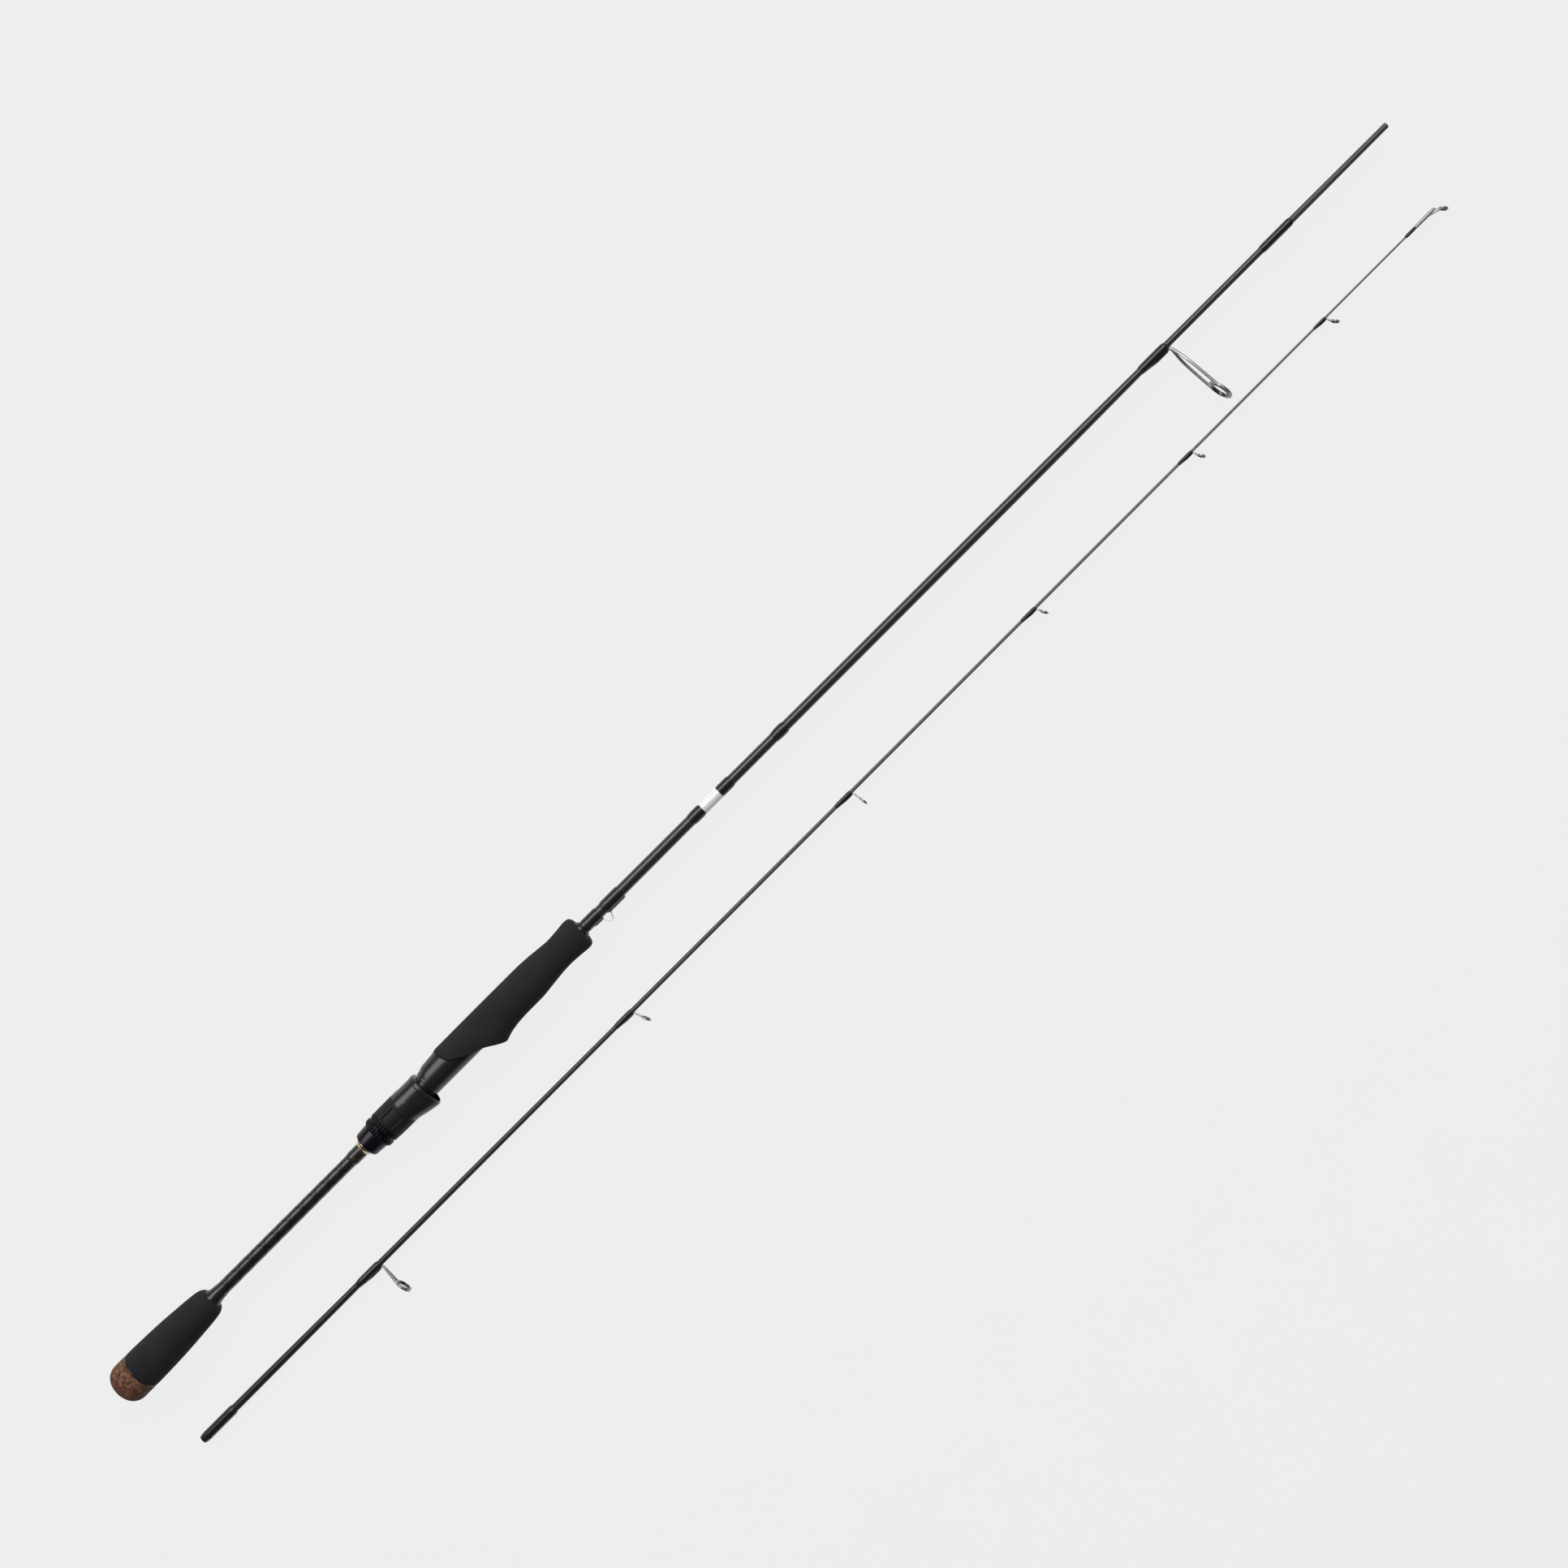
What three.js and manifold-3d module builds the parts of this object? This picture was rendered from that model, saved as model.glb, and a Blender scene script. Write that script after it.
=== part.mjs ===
// A two-piece spinning rod, taken apart and lying flat: the butt section with its grips, reel seat and
// first guide, and beside it the tip section with six more guides and the tip-top.
// Millimetres, +Z up. Both sections lie along +X with their tips towards +X, and every guide points
// towards -Y. Stations are distances along a section from its own rear end.

import * as THREE from 'three';
import { mergeVertices } from 'three/addons/utils/BufferGeometryUtils.js';
import Module from 'manifold-3d';

const wasm = await Module();
wasm.setup();

// ---------------------------------------------------------------- driving dimensions

const BUTT_LENGTH = 1101;
const TIP_BLANK_LENGTH = 1074;
const AXIS_SPACING = 57.45;          // between the two sections, side by side
const TIP_SECTION_START = 12;        // how far the tip section's rear end lies ahead of the butt's
const FIT = 0.06;                    // gap between a sleeve and what it is wound or glued on
const CLEAR = 0.35;                  // running clearance of the parts that slide or turn

const CAP_RADIUS = 13.2;
const CAP_CORNER = 8;
const CAP_LENGTH = 17;
const BARREL_RADIUS = 7.4;           // over the thread of the reel seat
const THREAD_PITCH = 2;
const THREAD_DEPTH = 0.5;
const SEAT_BORE = 5.6;
const BED_RADIUS = 8.85;             // the saddle that the reel foot lies on
const BED_FLAT = 8.6;                // distance of its flat from the axis
const HOOD_WALL = 1.0;
const SEAT_STEP = 266.4;             // where the threaded barrel ends and the saddle begins
const HOOD_REAR = 232.05;
const HOOD_FRONT = 264.5;
const HOOD_RIM = 3;                  // length of the ring at the hood's mouth
const GRIP_FRONT = 400.5;
const FERRULE_START = 1018;
const SOCKET_DEPTH = 90;

const BUTT_FACETS = 20;
const TIP_FACETS = 12;
const WIRE_FACETS = 6;

// outer radius of each blank along its length: [station, radius]
const BUTT_TAPER = [
  [4, 4.38], [87, 4.35], [200, 4.2], [400, 3.8], [497, 3.6], [531, 3.38], [584, 3.27],
  [720, 3.1], [820, 2.85], [870, 2.5], [920, 2.2], [FERRULE_START, 2.16], [1040, 2.1], [1100, 1.9],
];
const TIP_TAPER = [
  [0, 2.62], [57, 2.45], [107, 2.2], [157, 1.95], [257, 1.72], [457, 1.42], [607, 1.15],
  [857, 0.92], [TIP_BLANK_LENGTH, 0.58],
];

// ---------------------------------------------------------------- finishes

const finish = (color, roughness, metalness) => () =>
  new THREE.MeshStandardMaterial({ color, roughness, metalness });

const carbon = finish('#17161a', 0.25, 0.1);
const foam = finish('#1e1d20', 0.9, 0);
const rubberCork = finish('#4d4038', 0.85, 0);
const thread = finish('#0c0b0d', 0.15, 0);
const gold = finish('#b8974f', 0.3, 0.9);
const seatPlastic = finish('#232227', 0.3, 0.1);
const gunmetal = finish('#35303f', 0.3, 0.8);
const silver = finish('#e8e8e6', 0.25, 0.6);
const frameSteel = finish('#8f9094', 0.3, 0.9);
const ceramic = finish('#1a1a1c', 0.12, 0);

// ---------------------------------------------------------------- geometry helpers

/** The value of a [[station, value], ...] table at a station, with straight lines between its rows. */
function along(table, station) {
  const next = table.findIndex(([s]) => s >= station);
  if (next === 0) return table[0][1];
  if (next < 0) return table.at(-1)[1];
  const [[s0, v0], [s1, v1]] = [table[next - 1], table[next]];
  return v0 + (v1 - v0) * (station - s0) / (s1 - s0);
}

/** A geometry with its shared corners merged and its collapsed triangles dropped, faces outwards. */
function closed(source) {
  source.deleteAttribute('normal');
  source.deleteAttribute('uv');
  const geometry = mergeVertices(source, 1e-4);
  const corners = geometry.index.array;
  const place = geometry.attributes.position;
  const [a, b, c] = [new THREE.Vector3(), new THREE.Vector3(), new THREE.Vector3()];
  const kept = [];
  let volume = 0;
  for (let i = 0; i < corners.length; i += 3) {
    const [i0, i1, i2] = [corners[i], corners[i + 1], corners[i + 2]];
    if (i0 === i1 || i1 === i2 || i2 === i0) continue;
    kept.push(i0, i1, i2);
    a.fromBufferAttribute(place, i0);
    b.fromBufferAttribute(place, i1);
    c.fromBufferAttribute(place, i2);
    volume += a.dot(b.cross(c));
  }
  if (volume < 0) kept.reverse();
  geometry.setIndex(kept);
  return geometry;
}

/** A profile of [station, radius] points turned about the X axis. */
function turned(profile, facets) {
  const points = profile.map(([station, radius]) => new THREE.Vector2(radius, station));
  return closed(new THREE.LatheGeometry(points, facets).rotateZ(-Math.PI / 2));
}

/** A sleeve about the X axis: its outer and inner profiles both run from rear to front. */
function sleeve(outer, inner, facets) {
  return turned([...outer, ...inner.toReversed(), outer[0]], facets);
}

/** A solid rod about the X axis with the given outer profile. */
function rod(outer, facets) {
  return turned([[outer[0][0], 0], ...outer, [outer.at(-1)[0], 0]], facets);
}

/** The polar radius of a rounded outline with its own reach to +Y, to -Y and to either side. */
function outlineRadius({ top, bottom, side, power = 2 }, angle) {
  const up = Math.abs(Math.cos(angle) / (Math.cos(angle) > 0 ? top : bottom));
  const across = Math.abs(Math.sin(angle) / side);
  return (up ** power + across ** power) ** (-1 / power);
}

/** A solid along X whose section at each station is an outline of outlineRadius. */
function lofted(stations, section, facets) {
  const geometry = rod(stations.map((station) => [station, 1]), facets);
  const place = geometry.attributes.position;
  for (let i = 0; i < place.count; i++) {
    if (Math.hypot(place.getY(i), place.getZ(i)) < 0.5) continue;
    const angle = Math.atan2(place.getZ(i), place.getY(i));
    const radius = outlineRadius(section(place.getX(i)), angle);
    place.setY(i, radius * Math.cos(angle));
    place.setZ(i, radius * Math.sin(angle));
  }
  return geometry;
}

/** A bar of round section along a path, with flat ends. */
function wire(points, radius, steps) {
  const round = new THREE.Shape().absarc(0, 0, radius, 0, 2 * Math.PI);
  const extrudePath = new THREE.CatmullRomCurve3(points.map((p) => new THREE.Vector3(...p)));
  const sweep = { steps, curveSegments: WIRE_FACETS / 2, extrudePath };
  return closed(new THREE.ExtrudeGeometry(round, sweep));
}

/** A plate with an outline in X and Y, as thick along Z as given and centred on Z = 0. */
function plate(outline, thickness) {
  const shape = new THREE.Shape(outline.map(([x, y]) => new THREE.Vector2(x, y)));
  const flat = new THREE.ExtrudeGeometry(shape, { depth: thickness, bevelEnabled: false });
  return closed(flat.translate(0, 0, -thickness / 2));
}

function block(x0, x1, y0, y1, z0, z1) {
  const box = new THREE.BoxGeometry(x1 - x0, y1 - y0, z1 - z0);
  return closed(box.translate((x0 + x1) / 2, (y0 + y1) / 2, (z0 + z1) / 2));
}

function solid(geometry) {
  const vertProperties = new Float32Array(geometry.attributes.position.array);
  const triVerts = new Uint32Array(geometry.index.array);
  return new wasm.Manifold(new wasm.Mesh({ numProp: 3, vertProperties, triVerts }));
}

function fromSolid(made) {
  const { vertProperties, triVerts } = made.getMesh();
  const geometry = new THREE.BufferGeometry();
  geometry.setAttribute('position', new THREE.BufferAttribute(new Float32Array(vertProperties), 3));
  geometry.setIndex([...triVerts]);
  return geometry;
}

const join = (...pieces) => fromSolid(pieces.map(solid).reduce((a, b) => a.add(b)));
const cut = (body, ...tools) => fromSolid(tools.map(solid).reduce((a, b) => a.subtract(b), solid(body)));
const keep = (body, region) => fromSolid(solid(body).intersect(solid(region)));

function add(group, name, geometry, material) {
  const mesh = new THREE.Mesh(geometry, material());
  mesh.name = name;
  group.add(mesh);
}

// ---------------------------------------------------------------- the two sections

const buttRadius = (station) => along(BUTT_TAPER, station);
const tipRadius = (station) => along(TIP_TAPER, station);
const buttBore = (start, end) => [start, end].map((s) => [s, buttRadius(s) + FIT]);

/** Rows of a taper table between two stations, with rows at the two stations themselves. */
function stretch(table, start, end) {
  const inside = table.filter(([s]) => s > start && s < end);
  return [[start, along(table, start)], ...inside, [end, along(table, end)]];
}

/** A thread winding: it thickens from each end to its full radius, and swells towards -Y by bump. */
function winding({ start, end, radius, bump = 0, taper, blank, facets, under = [] }) {
  const section = (station) => {
    const full = station > start && station < end;
    const reach = full ? radius : blank(station) + 2.5 * FIT;
    return { top: reach, side: reach, bottom: reach + (full ? bump : 0) };
  };
  const body = lofted([start, start + taper, end - taper, end], section, facets);
  const bore = rod([[start - 1, blank(start - 1) + FIT], [end + 1, blank(end + 1) + FIT]], facets);
  return cut(body, bore, ...under);
}

/** A single-foot line guide with its winding, hanging towards -Y from a blank. */
function addGuide(group, name, size, blank, facets) {
  const { wrap, centre, reach, ringRadius, lean, wireRadius, footWidth, wrapRadius, bandWidth } = size;
  const root = wrap[1] + wireRadius + 0.2;
  const band = 0.11 * ringRadius;
  const hole = 0.7 * ringRadius;
  const seat = blank(wrap[0]) + 2 * FIT;
  const footThickness = 1.3 * wireRadius;

  const foot = (grow) => plate([
    [wrap[0] + 2 - grow, -seat + grow], [root + 0.6 + grow, -seat + grow],
    [root + 0.6 + grow, -seat - footThickness - grow], [wrap[0] + 2 - grow, -seat - 0.3 - grow],
  ], footWidth + 2 * grow);

  const upright = new THREE.Matrix4().makeTranslation(centre, -reach, 0)
    .multiply(new THREE.Matrix4().makeRotationZ(THREE.MathUtils.degToRad(lean)));
  const half = bandWidth / 2;
  const bandRing = sleeve(
    [[-half, ringRadius - 0.05], [half, ringRadius - 0.05]],
    [[-half, ringRadius - band], [half, ringRadius - band]], facets,
  ).applyMatrix4(upright);
  const lip = 0.12 * ringRadius;
  const insert = sleeve(
    [[-half - lip * 0.6, hole + 0.5 * lip], [-half, ringRadius - band - FIT],
      [half, ringRadius - band - FIT], [half + lip * 0.6, hole + 0.5 * lip]],
    [[-half, hole], [half, hole]], facets,
  ).applyMatrix4(upright);

  // the legs run down onto the outside of the band, clear of the hole
  const onBand = ringRadius - band + wireRadius + FIT;
  const legs = [-1, 1].map((side) => {
    const onRing = (angle) => new THREE.Vector3(
      0, onBand * Math.cos(angle), side * onBand * Math.sin(angle),
    ).applyMatrix4(upright).toArray();
    return wire([
      [root, -seat - footThickness / 2, side * footWidth * 0.2],
      [
        root + 0.35 * (centre - root), -seat - 0.35 * (reach - seat - ringRadius),
        side * footWidth * 0.45,
      ],
      onRing(0.5), onRing(1.05),
    ], wireRadius, 4);
  });
  add(group, `${name}_frame`, join(bandRing, foot(0), ...legs), frameSteel);
  add(group, `${name}_ring`, insert, ceramic);
  add(group, `${name}_wrap`, winding({
    start: wrap[0], end: wrap[1], radius: wrapRadius, bump: footThickness * 0.75,
    taper: size.taper, blank, facets, under: [foot(FIT)],
  }), thread);
}

// ---------------------------------------------------------------- butt section

const butt = new THREE.Group();

const BLANK_START = 4;                // the blank stands this far into the cap's blind hole
const WALL = [[BLANK_START, 1.2], [500, 1.1], [900, 0.8], [BUTT_LENGTH, 0.65]];
add(butt, 'butt_blank', sleeve(
  [...stretch(BUTT_TAPER, BLANK_START, BUTT_LENGTH - 1), [BUTT_LENGTH, 1.6]],
  WALL.map(([s, wall]) => [s, Math.min(buttRadius(s) - wall, 3.1)]),
  BUTT_FACETS,
), carbon);

/** The broad end of the butt cap: a flat face, then a quarter round. */
const capCorner = [0, 22.5, 45, 67.5, 90].map((degrees) => {
  const turn = THREE.MathUtils.degToRad(degrees);
  return [CAP_CORNER * (1 - Math.cos(turn)), CAP_RADIUS - CAP_CORNER * (1 - Math.sin(turn))];
});
add(butt, 'butt_cap', turned([
  [0, 0], ...capCorner, [CAP_LENGTH, CAP_RADIUS - 0.05],
  [CAP_LENGTH, buttRadius(CAP_LENGTH) + FIT],
  [BLANK_START - FIT, buttRadius(BLANK_START) + FIT], [BLANK_START - FIT, 0],
], BUTT_FACETS), rubberCork);

add(butt, 'butt_cap_seam', sleeve(
  [[17.05, 13.05], [17.6, 13.05]], buttBore(17.05, 17.6), BUTT_FACETS,
), thread);

add(butt, 'rear_grip', sleeve([
  [17.65, 13.15], [20.5, 13.19], [29.5, 13.0], [39.5, 12.68], [49.5, 12.15], [59.5, 11.4],
  [69.5, 10.55], [74.5, 9.9], [77, 9.2], [79, 7.8], [80, 6.4],
], buttBore(17.65, 80), BUTT_FACETS), foam);

add(butt, 'rear_grip_check', sleeve(
  [[80.05, 6.0], [81.2, 5.5], [83.5, 4.98], [87.5, 4.65]], buttBore(80.05, 87.5), BUTT_FACETS,
), thread);

add(butt, 'seat_rear_wrap', winding({
  start: 201, end: 209.9, radius: 4.72, taper: 1.8, blank: buttRadius, facets: BUTT_FACETS,
}), thread);

add(butt, 'seat_check_ring', sleeve(
  [[209.95, 4.9], [211, 5.5], [212.6, 6.4], [213.4, 6.4]], buttBore(209.95, 213.4), BUTT_FACETS,
), gold);

// reel seat: a threaded barrel, then a saddle that swells on its upper side under the fore grip
const SEAT_END = 336;
const seatTop = [
  [SEAT_STEP, 8.95], [268, 9.1], [272, 10.35], [279, 10.95], [284, 11.4], [292, 10.4], [300, 9.4],
  [SEAT_END, 9.2],
];
const seatBottom = [[SEAT_STEP, BED_RADIUS], [308, BED_RADIUS], [312, 8.0], [SEAT_END, 8.0]];
const seatSection = (grow) => (station) => ({
  top: along(seatTop, station) + grow,
  side: Math.min(along(seatTop, station) * 0.3 + 6.3, 9.6) + grow,
  bottom: along(seatBottom, station) + grow,
});
const saddleStations = [SEAT_STEP, 268, 272, 279, 284, 292, 300, 308, 312, SEAT_END];

const ridges = [];
for (let station = 214; station < 233; station += THREAD_PITCH) {
  ridges.push([station, BARREL_RADIUS - THREAD_DEPTH], [station + THREAD_PITCH / 2, BARREL_RADIUS]);
}
const barrel = rod([
  [213.5, BARREL_RADIUS - THREAD_DEPTH], ...ridges, [236, BARREL_RADIUS], [268, BARREL_RADIUS],
], BUTT_FACETS);
const keyway = block(212, 262, 6.3, 9, -1.3, 1.3);
const saddle = lofted(saddleStations, seatSection(0), BUTT_FACETS);
const bedFlat = block(SEAT_STEP - 0.5, 307.5, -12, -BED_FLAT, -8, 8);
add(butt, 'reel_seat_body', cut(
  join(cut(barrel, keyway), cut(saddle, bedFlat)), rod([[210, SEAT_BORE], [340, SEAT_BORE]], BUTT_FACETS),
), seatPlastic);

const arbor = (start, end) => sleeve(
  [[start, SEAT_BORE - FIT], [end, SEAT_BORE - FIT]], buttBore(start, end), BUTT_FACETS,
);
add(butt, 'seat_arbor_rear', arbor(215, 235), foam);
add(butt, 'seat_arbor_front', arbor(300, 334), foam);

// fixed front hood: a pocket for the front of the reel foot, lined and buried in the fore grip
const pocketDepth = [[300, 13.4], [316.5, 13.4], [330, 12.2], [331, 11.6]];
const frontPocket = (grow) => lofted(
  [300 - grow, 316.5, 330, 331 + grow],
  (station) => ({ top: 3, side: 8.6 + grow, bottom: along(pocketDepth, station) + grow, power: 2.8 }),
  BUTT_FACETS,
);
// the mouth of the hood slants from the saddle out to the peak of the grip
const behindMouth = plate([
  [270, -20], [322.6, -20], [319.4, -15.6], [308.5, -8.95], [300, -8.4], [270, -5],
], 40);
const lowerHalf = block(300, 340, -20, -5, -20, 20);
const seatCore = lofted(saddleStations, seatSection(0.15), BUTT_FACETS);
add(butt, 'front_hood', cut(
  keep(frontPocket(HOOD_WALL), lowerHalf), frontPocket(0), seatCore, behindMouth,
), seatPlastic);

// fore grip: foam shaped round the seat, with a slanting rear edge and a keel over the front hood
const gripWaist = [[381, 10.2], [390, 10.7], [396, 11.2], [399, 10.9], [GRIP_FRONT, 9.6]];
const gripTop = [
  [276, 11.9], [289, 12.0], [354, 12.05], [364.5, 11.6], [374.5, 10.65], ...gripWaist,
];
const gripBottom = [
  [276, 9.2], [308.5, 9.2], [319.4, 15.45], [324.5, 14.3], [331, 13.0], [341, 12.6], [354, 12.5],
  [364.5, 11.5], [374.5, 10.5], ...gripWaist,
];
const gripSide = [
  [276, 10.8], [300, 11.6], [330, 11.9], [354, 11.7], [364.5, 11.2], [374.5, 10.5], ...gripWaist,
];
const gripStations = [289, 300, 314, ...gripBottom.map(([station]) => station)].sort((a, b) => a - b);
const gripOuter = lofted(gripStations, (station) => ({
  top: along(gripTop, station), side: along(gripSide, station), bottom: along(gripBottom, station),
  power: 2.1,
}), BUTT_FACETS);
const rearEdge = plate([
  [270, 20], [281, 20], [283.5, 11.9], [287.3, 1.3], [297, -5.2], [307.5, -8.9], [308.5, -9.0],
  [319.4, -15.5], [322.6, -20], [270, -20],
], 40);
const gripBore = rod([[270, buttRadius(270) + FIT], [402, buttRadius(400) + FIT]], BUTT_FACETS);
const seatEnd = rod([[SEAT_END - 1, 9.5], [SEAT_END + 0.3, 9.5]], BUTT_FACETS);
const seatRoom = lofted(saddleStations.with(-1, SEAT_END + 0.3), seatSection(0.3), BUTT_FACETS);
add(butt, 'fore_grip', cut(
  gripOuter, rearEdge, seatRoom, seatEnd, frontPocket(HOOD_WALL + 0.3), gripBore,
), foam);

add(butt, 'fore_grip_check', sleeve(
  [[400.6, 5.7], [401.6, 5.6], [402.6, 4.95]], buttBore(400.6, 402.6), BUTT_FACETS,
), thread);

// hook keeper: a wire loop whose two ends are bound down under the windings on either side of it
const KEEPER_WIRE = 0.4;
const keeperSeat = buttRadius(405) + 0.25 + KEEPER_WIRE;
const keeperLoop = (radius, overrun) => wire([
  [408 - overrun, -keeperSeat, 0], [413.5, -keeperSeat, 0], [416, -keeperSeat - 2, 0],
  [417, -8.2, 0], [418.3, -8.8, 0], [419.6, -8.2, 0],
  [420.6, -keeperSeat - 2, 0], [423, -keeperSeat, 0], [428.5 + overrun, -keeperSeat, 0],
], radius, 16);
add(butt, 'hook_keeper', keeperLoop(KEEPER_WIRE, 0), frameSteel);
const keeperWinding = (start, end, radius) => winding({
  start, end, radius, bump: 0.75, taper: 2.5, blank: buttRadius, facets: BUTT_FACETS,
  under: [keeperLoop(KEEPER_WIRE + FIT, 0.2)],
});
add(butt, 'keeper_rear_wrap', keeperWinding(402.7, 415.5, 4.3), thread);
add(butt, 'keeper_front_wrap', keeperWinding(420.3, 434.5, 4.25), thread);

// ornament ahead of the handle: a bright band between two windings, and one narrow winding beyond
const plainWinding = (start, end, radius) => winding({
  start, end, radius, taper: 2, blank: buttRadius, facets: BUTT_FACETS,
});
add(butt, 'band_rear_wrap', plainWinding(497, 505.9, 4.15), thread);
add(butt, 'silver_band', sleeve([[506, 3.95], [520.4, 3.85]], buttBore(506, 520.4), BUTT_FACETS), silver);
add(butt, 'band_front_wrap', plainWinding(520.5, 531, 3.95), thread);
add(butt, 'blank_ring_wrap', plainWinding(569.5, 578.5, 3.92), thread);

addGuide(butt, 'guide_1', {
  wrap: [888, 909], centre: 913.75, reach: 42.9, ringRadius: 8.25, lean: 11, bandWidth: 2.2,
  wireRadius: 0.75, footWidth: 2.4, wrapRadius: 3.0, taper: 3,
}, buttRadius, BUTT_FACETS);

add(butt, 'male_ferrule_wrap', plainWinding(993, FERRULE_START - 0.1, 2.72), thread);

// ---------------------------------------------------------------- sliding hood and its lock nut

// the hood: a ring round the barrel that opens forwards over the rear of the reel foot
const hoodTop = [[HOOD_REAR, 10.75], [248, 10.75], [252, 10.45], [262, 10.4], [HOOD_FRONT, 9.9]];
const hoodBottom = [
  [HOOD_REAR, 10.9], [246, 11.1], [249, 11.4], [252, 12.05], [257, 13.1], [262, 13.7],
  [HOOD_FRONT, 13.2],
];
const hoodSection = (station) => {
  const upper = along(hoodTop, station);
  return { top: upper, side: upper, bottom: along(hoodBottom, station), power: 2.15 };
};
const hoodPocketDepth = [[243, 8.5], [245, 9.5], [HOOD_FRONT, 12.6], [268, 13.1]];
const hoodPocket = lofted([243, 245, HOOD_FRONT, 268], (station) => ({
  top: 4, side: 8.6, bottom: along(hoodPocketDepth, station), power: 3,
}), BUTT_FACETS);
const hoodBore = rod([[225, BARREL_RADIUS + CLEAR], [270, BARREL_RADIUS + CLEAR]], BUTT_FACETS);
const rimStart = HOOD_FRONT - HOOD_RIM;
const hoodPart = (stations) => cut(lofted(stations, hoodSection, BUTT_FACETS), hoodPocket, hoodBore);

/** A shallow rectangular window sunk into each side of the hood. */
const windowSink = [-1, 1].map((side) => cut(
  block(233.3, 243.8, -4.6, 4.9, side < 0 ? -14 : 5, side < 0 ? -5 : 14),
  rod([[232, 9.95], [245, 9.95]], BUTT_FACETS),
));
const key = block(240, 260, 6.75, 8.6, -0.9, 0.9);
const hood = new THREE.Group();
add(hood, 'sliding_hood', cut(
  join(hoodPart([HOOD_REAR, 246, 249, 252, 257, rimStart - 0.05]), key), ...windowSink,
), seatPlastic);
add(hood, 'sliding_hood_rim', hoodPart([rimStart, 262.6, HOOD_FRONT]), seatPlastic);

const nutBore = (start, end) => [start, end].map((s) => [s, BARREL_RADIUS + CLEAR]);
add(hood, 'lock_nut', sleeve([
  [223.1, 9.5], [223.6, 10.5], [226.4, 10.6], [227.1, 9.9], [228.1, 9.9], [228.8, 10.7],
  [231.3, 10.7], [232, 10.2],
], nutBore(223.1, 232), BUTT_FACETS), gunmetal);
add(hood, 'lock_nut_skirt', sleeve(
  [[213.55, 8.3], [214.4, 8.6], [222.2, 9.2], [223, 9.1]], nutBore(213.55, 223), BUTT_FACETS,
), gunmetal);
butt.add(hood);

// ---------------------------------------------------------------- tip section

const tip = new THREE.Group();

// the socket in the rear end takes the ground ferrule of the butt section, taper on taper
add(tip, 'tip_blank', sleeve(
  stretch(TIP_TAPER, 0, TIP_BLANK_LENGTH),
  [[0, 2.16], [70, 1.95], [SOCKET_DEPTH, 1.8], [500, 0.7], [700, 0.35]], TIP_FACETS,
), carbon);

add(tip, 'female_ferrule_wrap', winding({
  start: 0.3, end: 26, radius: 3.2, taper: 4, blank: tipRadius, facets: TIP_FACETS,
}), thread);

const MIDDLE_GUIDE = { wireRadius: 0.55, footWidth: 1.6, bandWidth: 1.4, taper: 2.5 };
const SMALL_GUIDE = { wireRadius: 0.4, footWidth: 1.1, bandWidth: 1.0, taper: 2 };
const TIP_GUIDES = [
  // winding's start and end, ring's station, reach, radius and lean, winding's radius, the rest
  [135.5, 152.5, 153.6, 20.4, 5.25, 13, 2.62, MIDDLE_GUIDE],
  [361, 374, 377.2, 9.5, 3.25, 23, 1.95, SMALL_GUIDE],
  [553.5, 566, 567.6, 9.25, 3.0, 8, 1.62, SMALL_GUIDE],
  [716.5, 727.5, 729.6, 5.8, 2.75, 27, 1.35, SMALL_GUIDE],
  [854, 864.5, 866.9, 6.2, 2.75, 30, 1.25, SMALL_GUIDE],
  [972.5, 981.5, 984.5, 5.9, 2.75, 35, 1.12, SMALL_GUIDE],
];
TIP_GUIDES.forEach(([start, end, centre, reach, ringRadius, lean, wrapRadius, rest], i) => {
  const size = { ...rest, wrap: [start, end], centre, reach, ringRadius, lean, wrapRadius };
  addGuide(tip, `guide_${i + 2}`, size, tipRadius, TIP_FACETS);
});

// tip-top: a tube glued over the end of the blank, with a ring held below and ahead of it
const TOP_START = 1060.5;
const TOP_RING = { centre: 1081.4, reach: 3.9, radius: 2.9, lean: 38, half: 0.55 };
const topUpright = new THREE.Matrix4().makeTranslation(TOP_RING.centre, -TOP_RING.reach, 0)
  .multiply(new THREE.Matrix4().makeRotationZ(THREE.MathUtils.degToRad(TOP_RING.lean)));
const topBand = sleeve(
  [[-TOP_RING.half, TOP_RING.radius], [TOP_RING.half, TOP_RING.radius]],
  [[-TOP_RING.half, TOP_RING.radius - 0.4], [TOP_RING.half, TOP_RING.radius - 0.4]], TIP_FACETS,
).applyMatrix4(topUpright);
const topTube = rod([[TOP_START, 1.15], [1074.5, 1.25], [1076.5, 1.1], [1077.5, 0.6]], TIP_FACETS);
const topBore = rod([
  [TOP_START - 1, tipRadius(TOP_START) + FIT], [TIP_BLANK_LENGTH + FIT, tipRadius(TOP_START) + FIT],
], TIP_FACETS);
const topLegs = [-1, 1].map((side) => {
  const onRing = (angle) => new THREE.Vector3(
    0, TOP_RING.radius * Math.cos(angle), side * TOP_RING.radius * Math.sin(angle),
  ).applyMatrix4(topUpright).toArray();
  return wire([
    [1072.5, -1.2, side * 0.5], [1076, -2.0, side * 1.3], onRing(1.3), onRing(1.65),
  ], 0.36, 4);
});
const topStem = wire([[1074.5, -0.3, 0], [1077, -0.6, 0], [1078.5, -1.25, 0]], 0.4, 2);
add(tip, 'tip_top_frame', cut(join(topTube, topStem, ...topLegs, topBand), topBore), frameSteel);
add(tip, 'tip_top_ring', sleeve(
  [[-0.75, 2.1], [-TOP_RING.half, 2.44], [TOP_RING.half, 2.44], [0.75, 2.1]],
  [[-TOP_RING.half, 1.75], [TOP_RING.half, 1.75]], TIP_FACETS,
).applyMatrix4(topUpright), ceramic);
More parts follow.
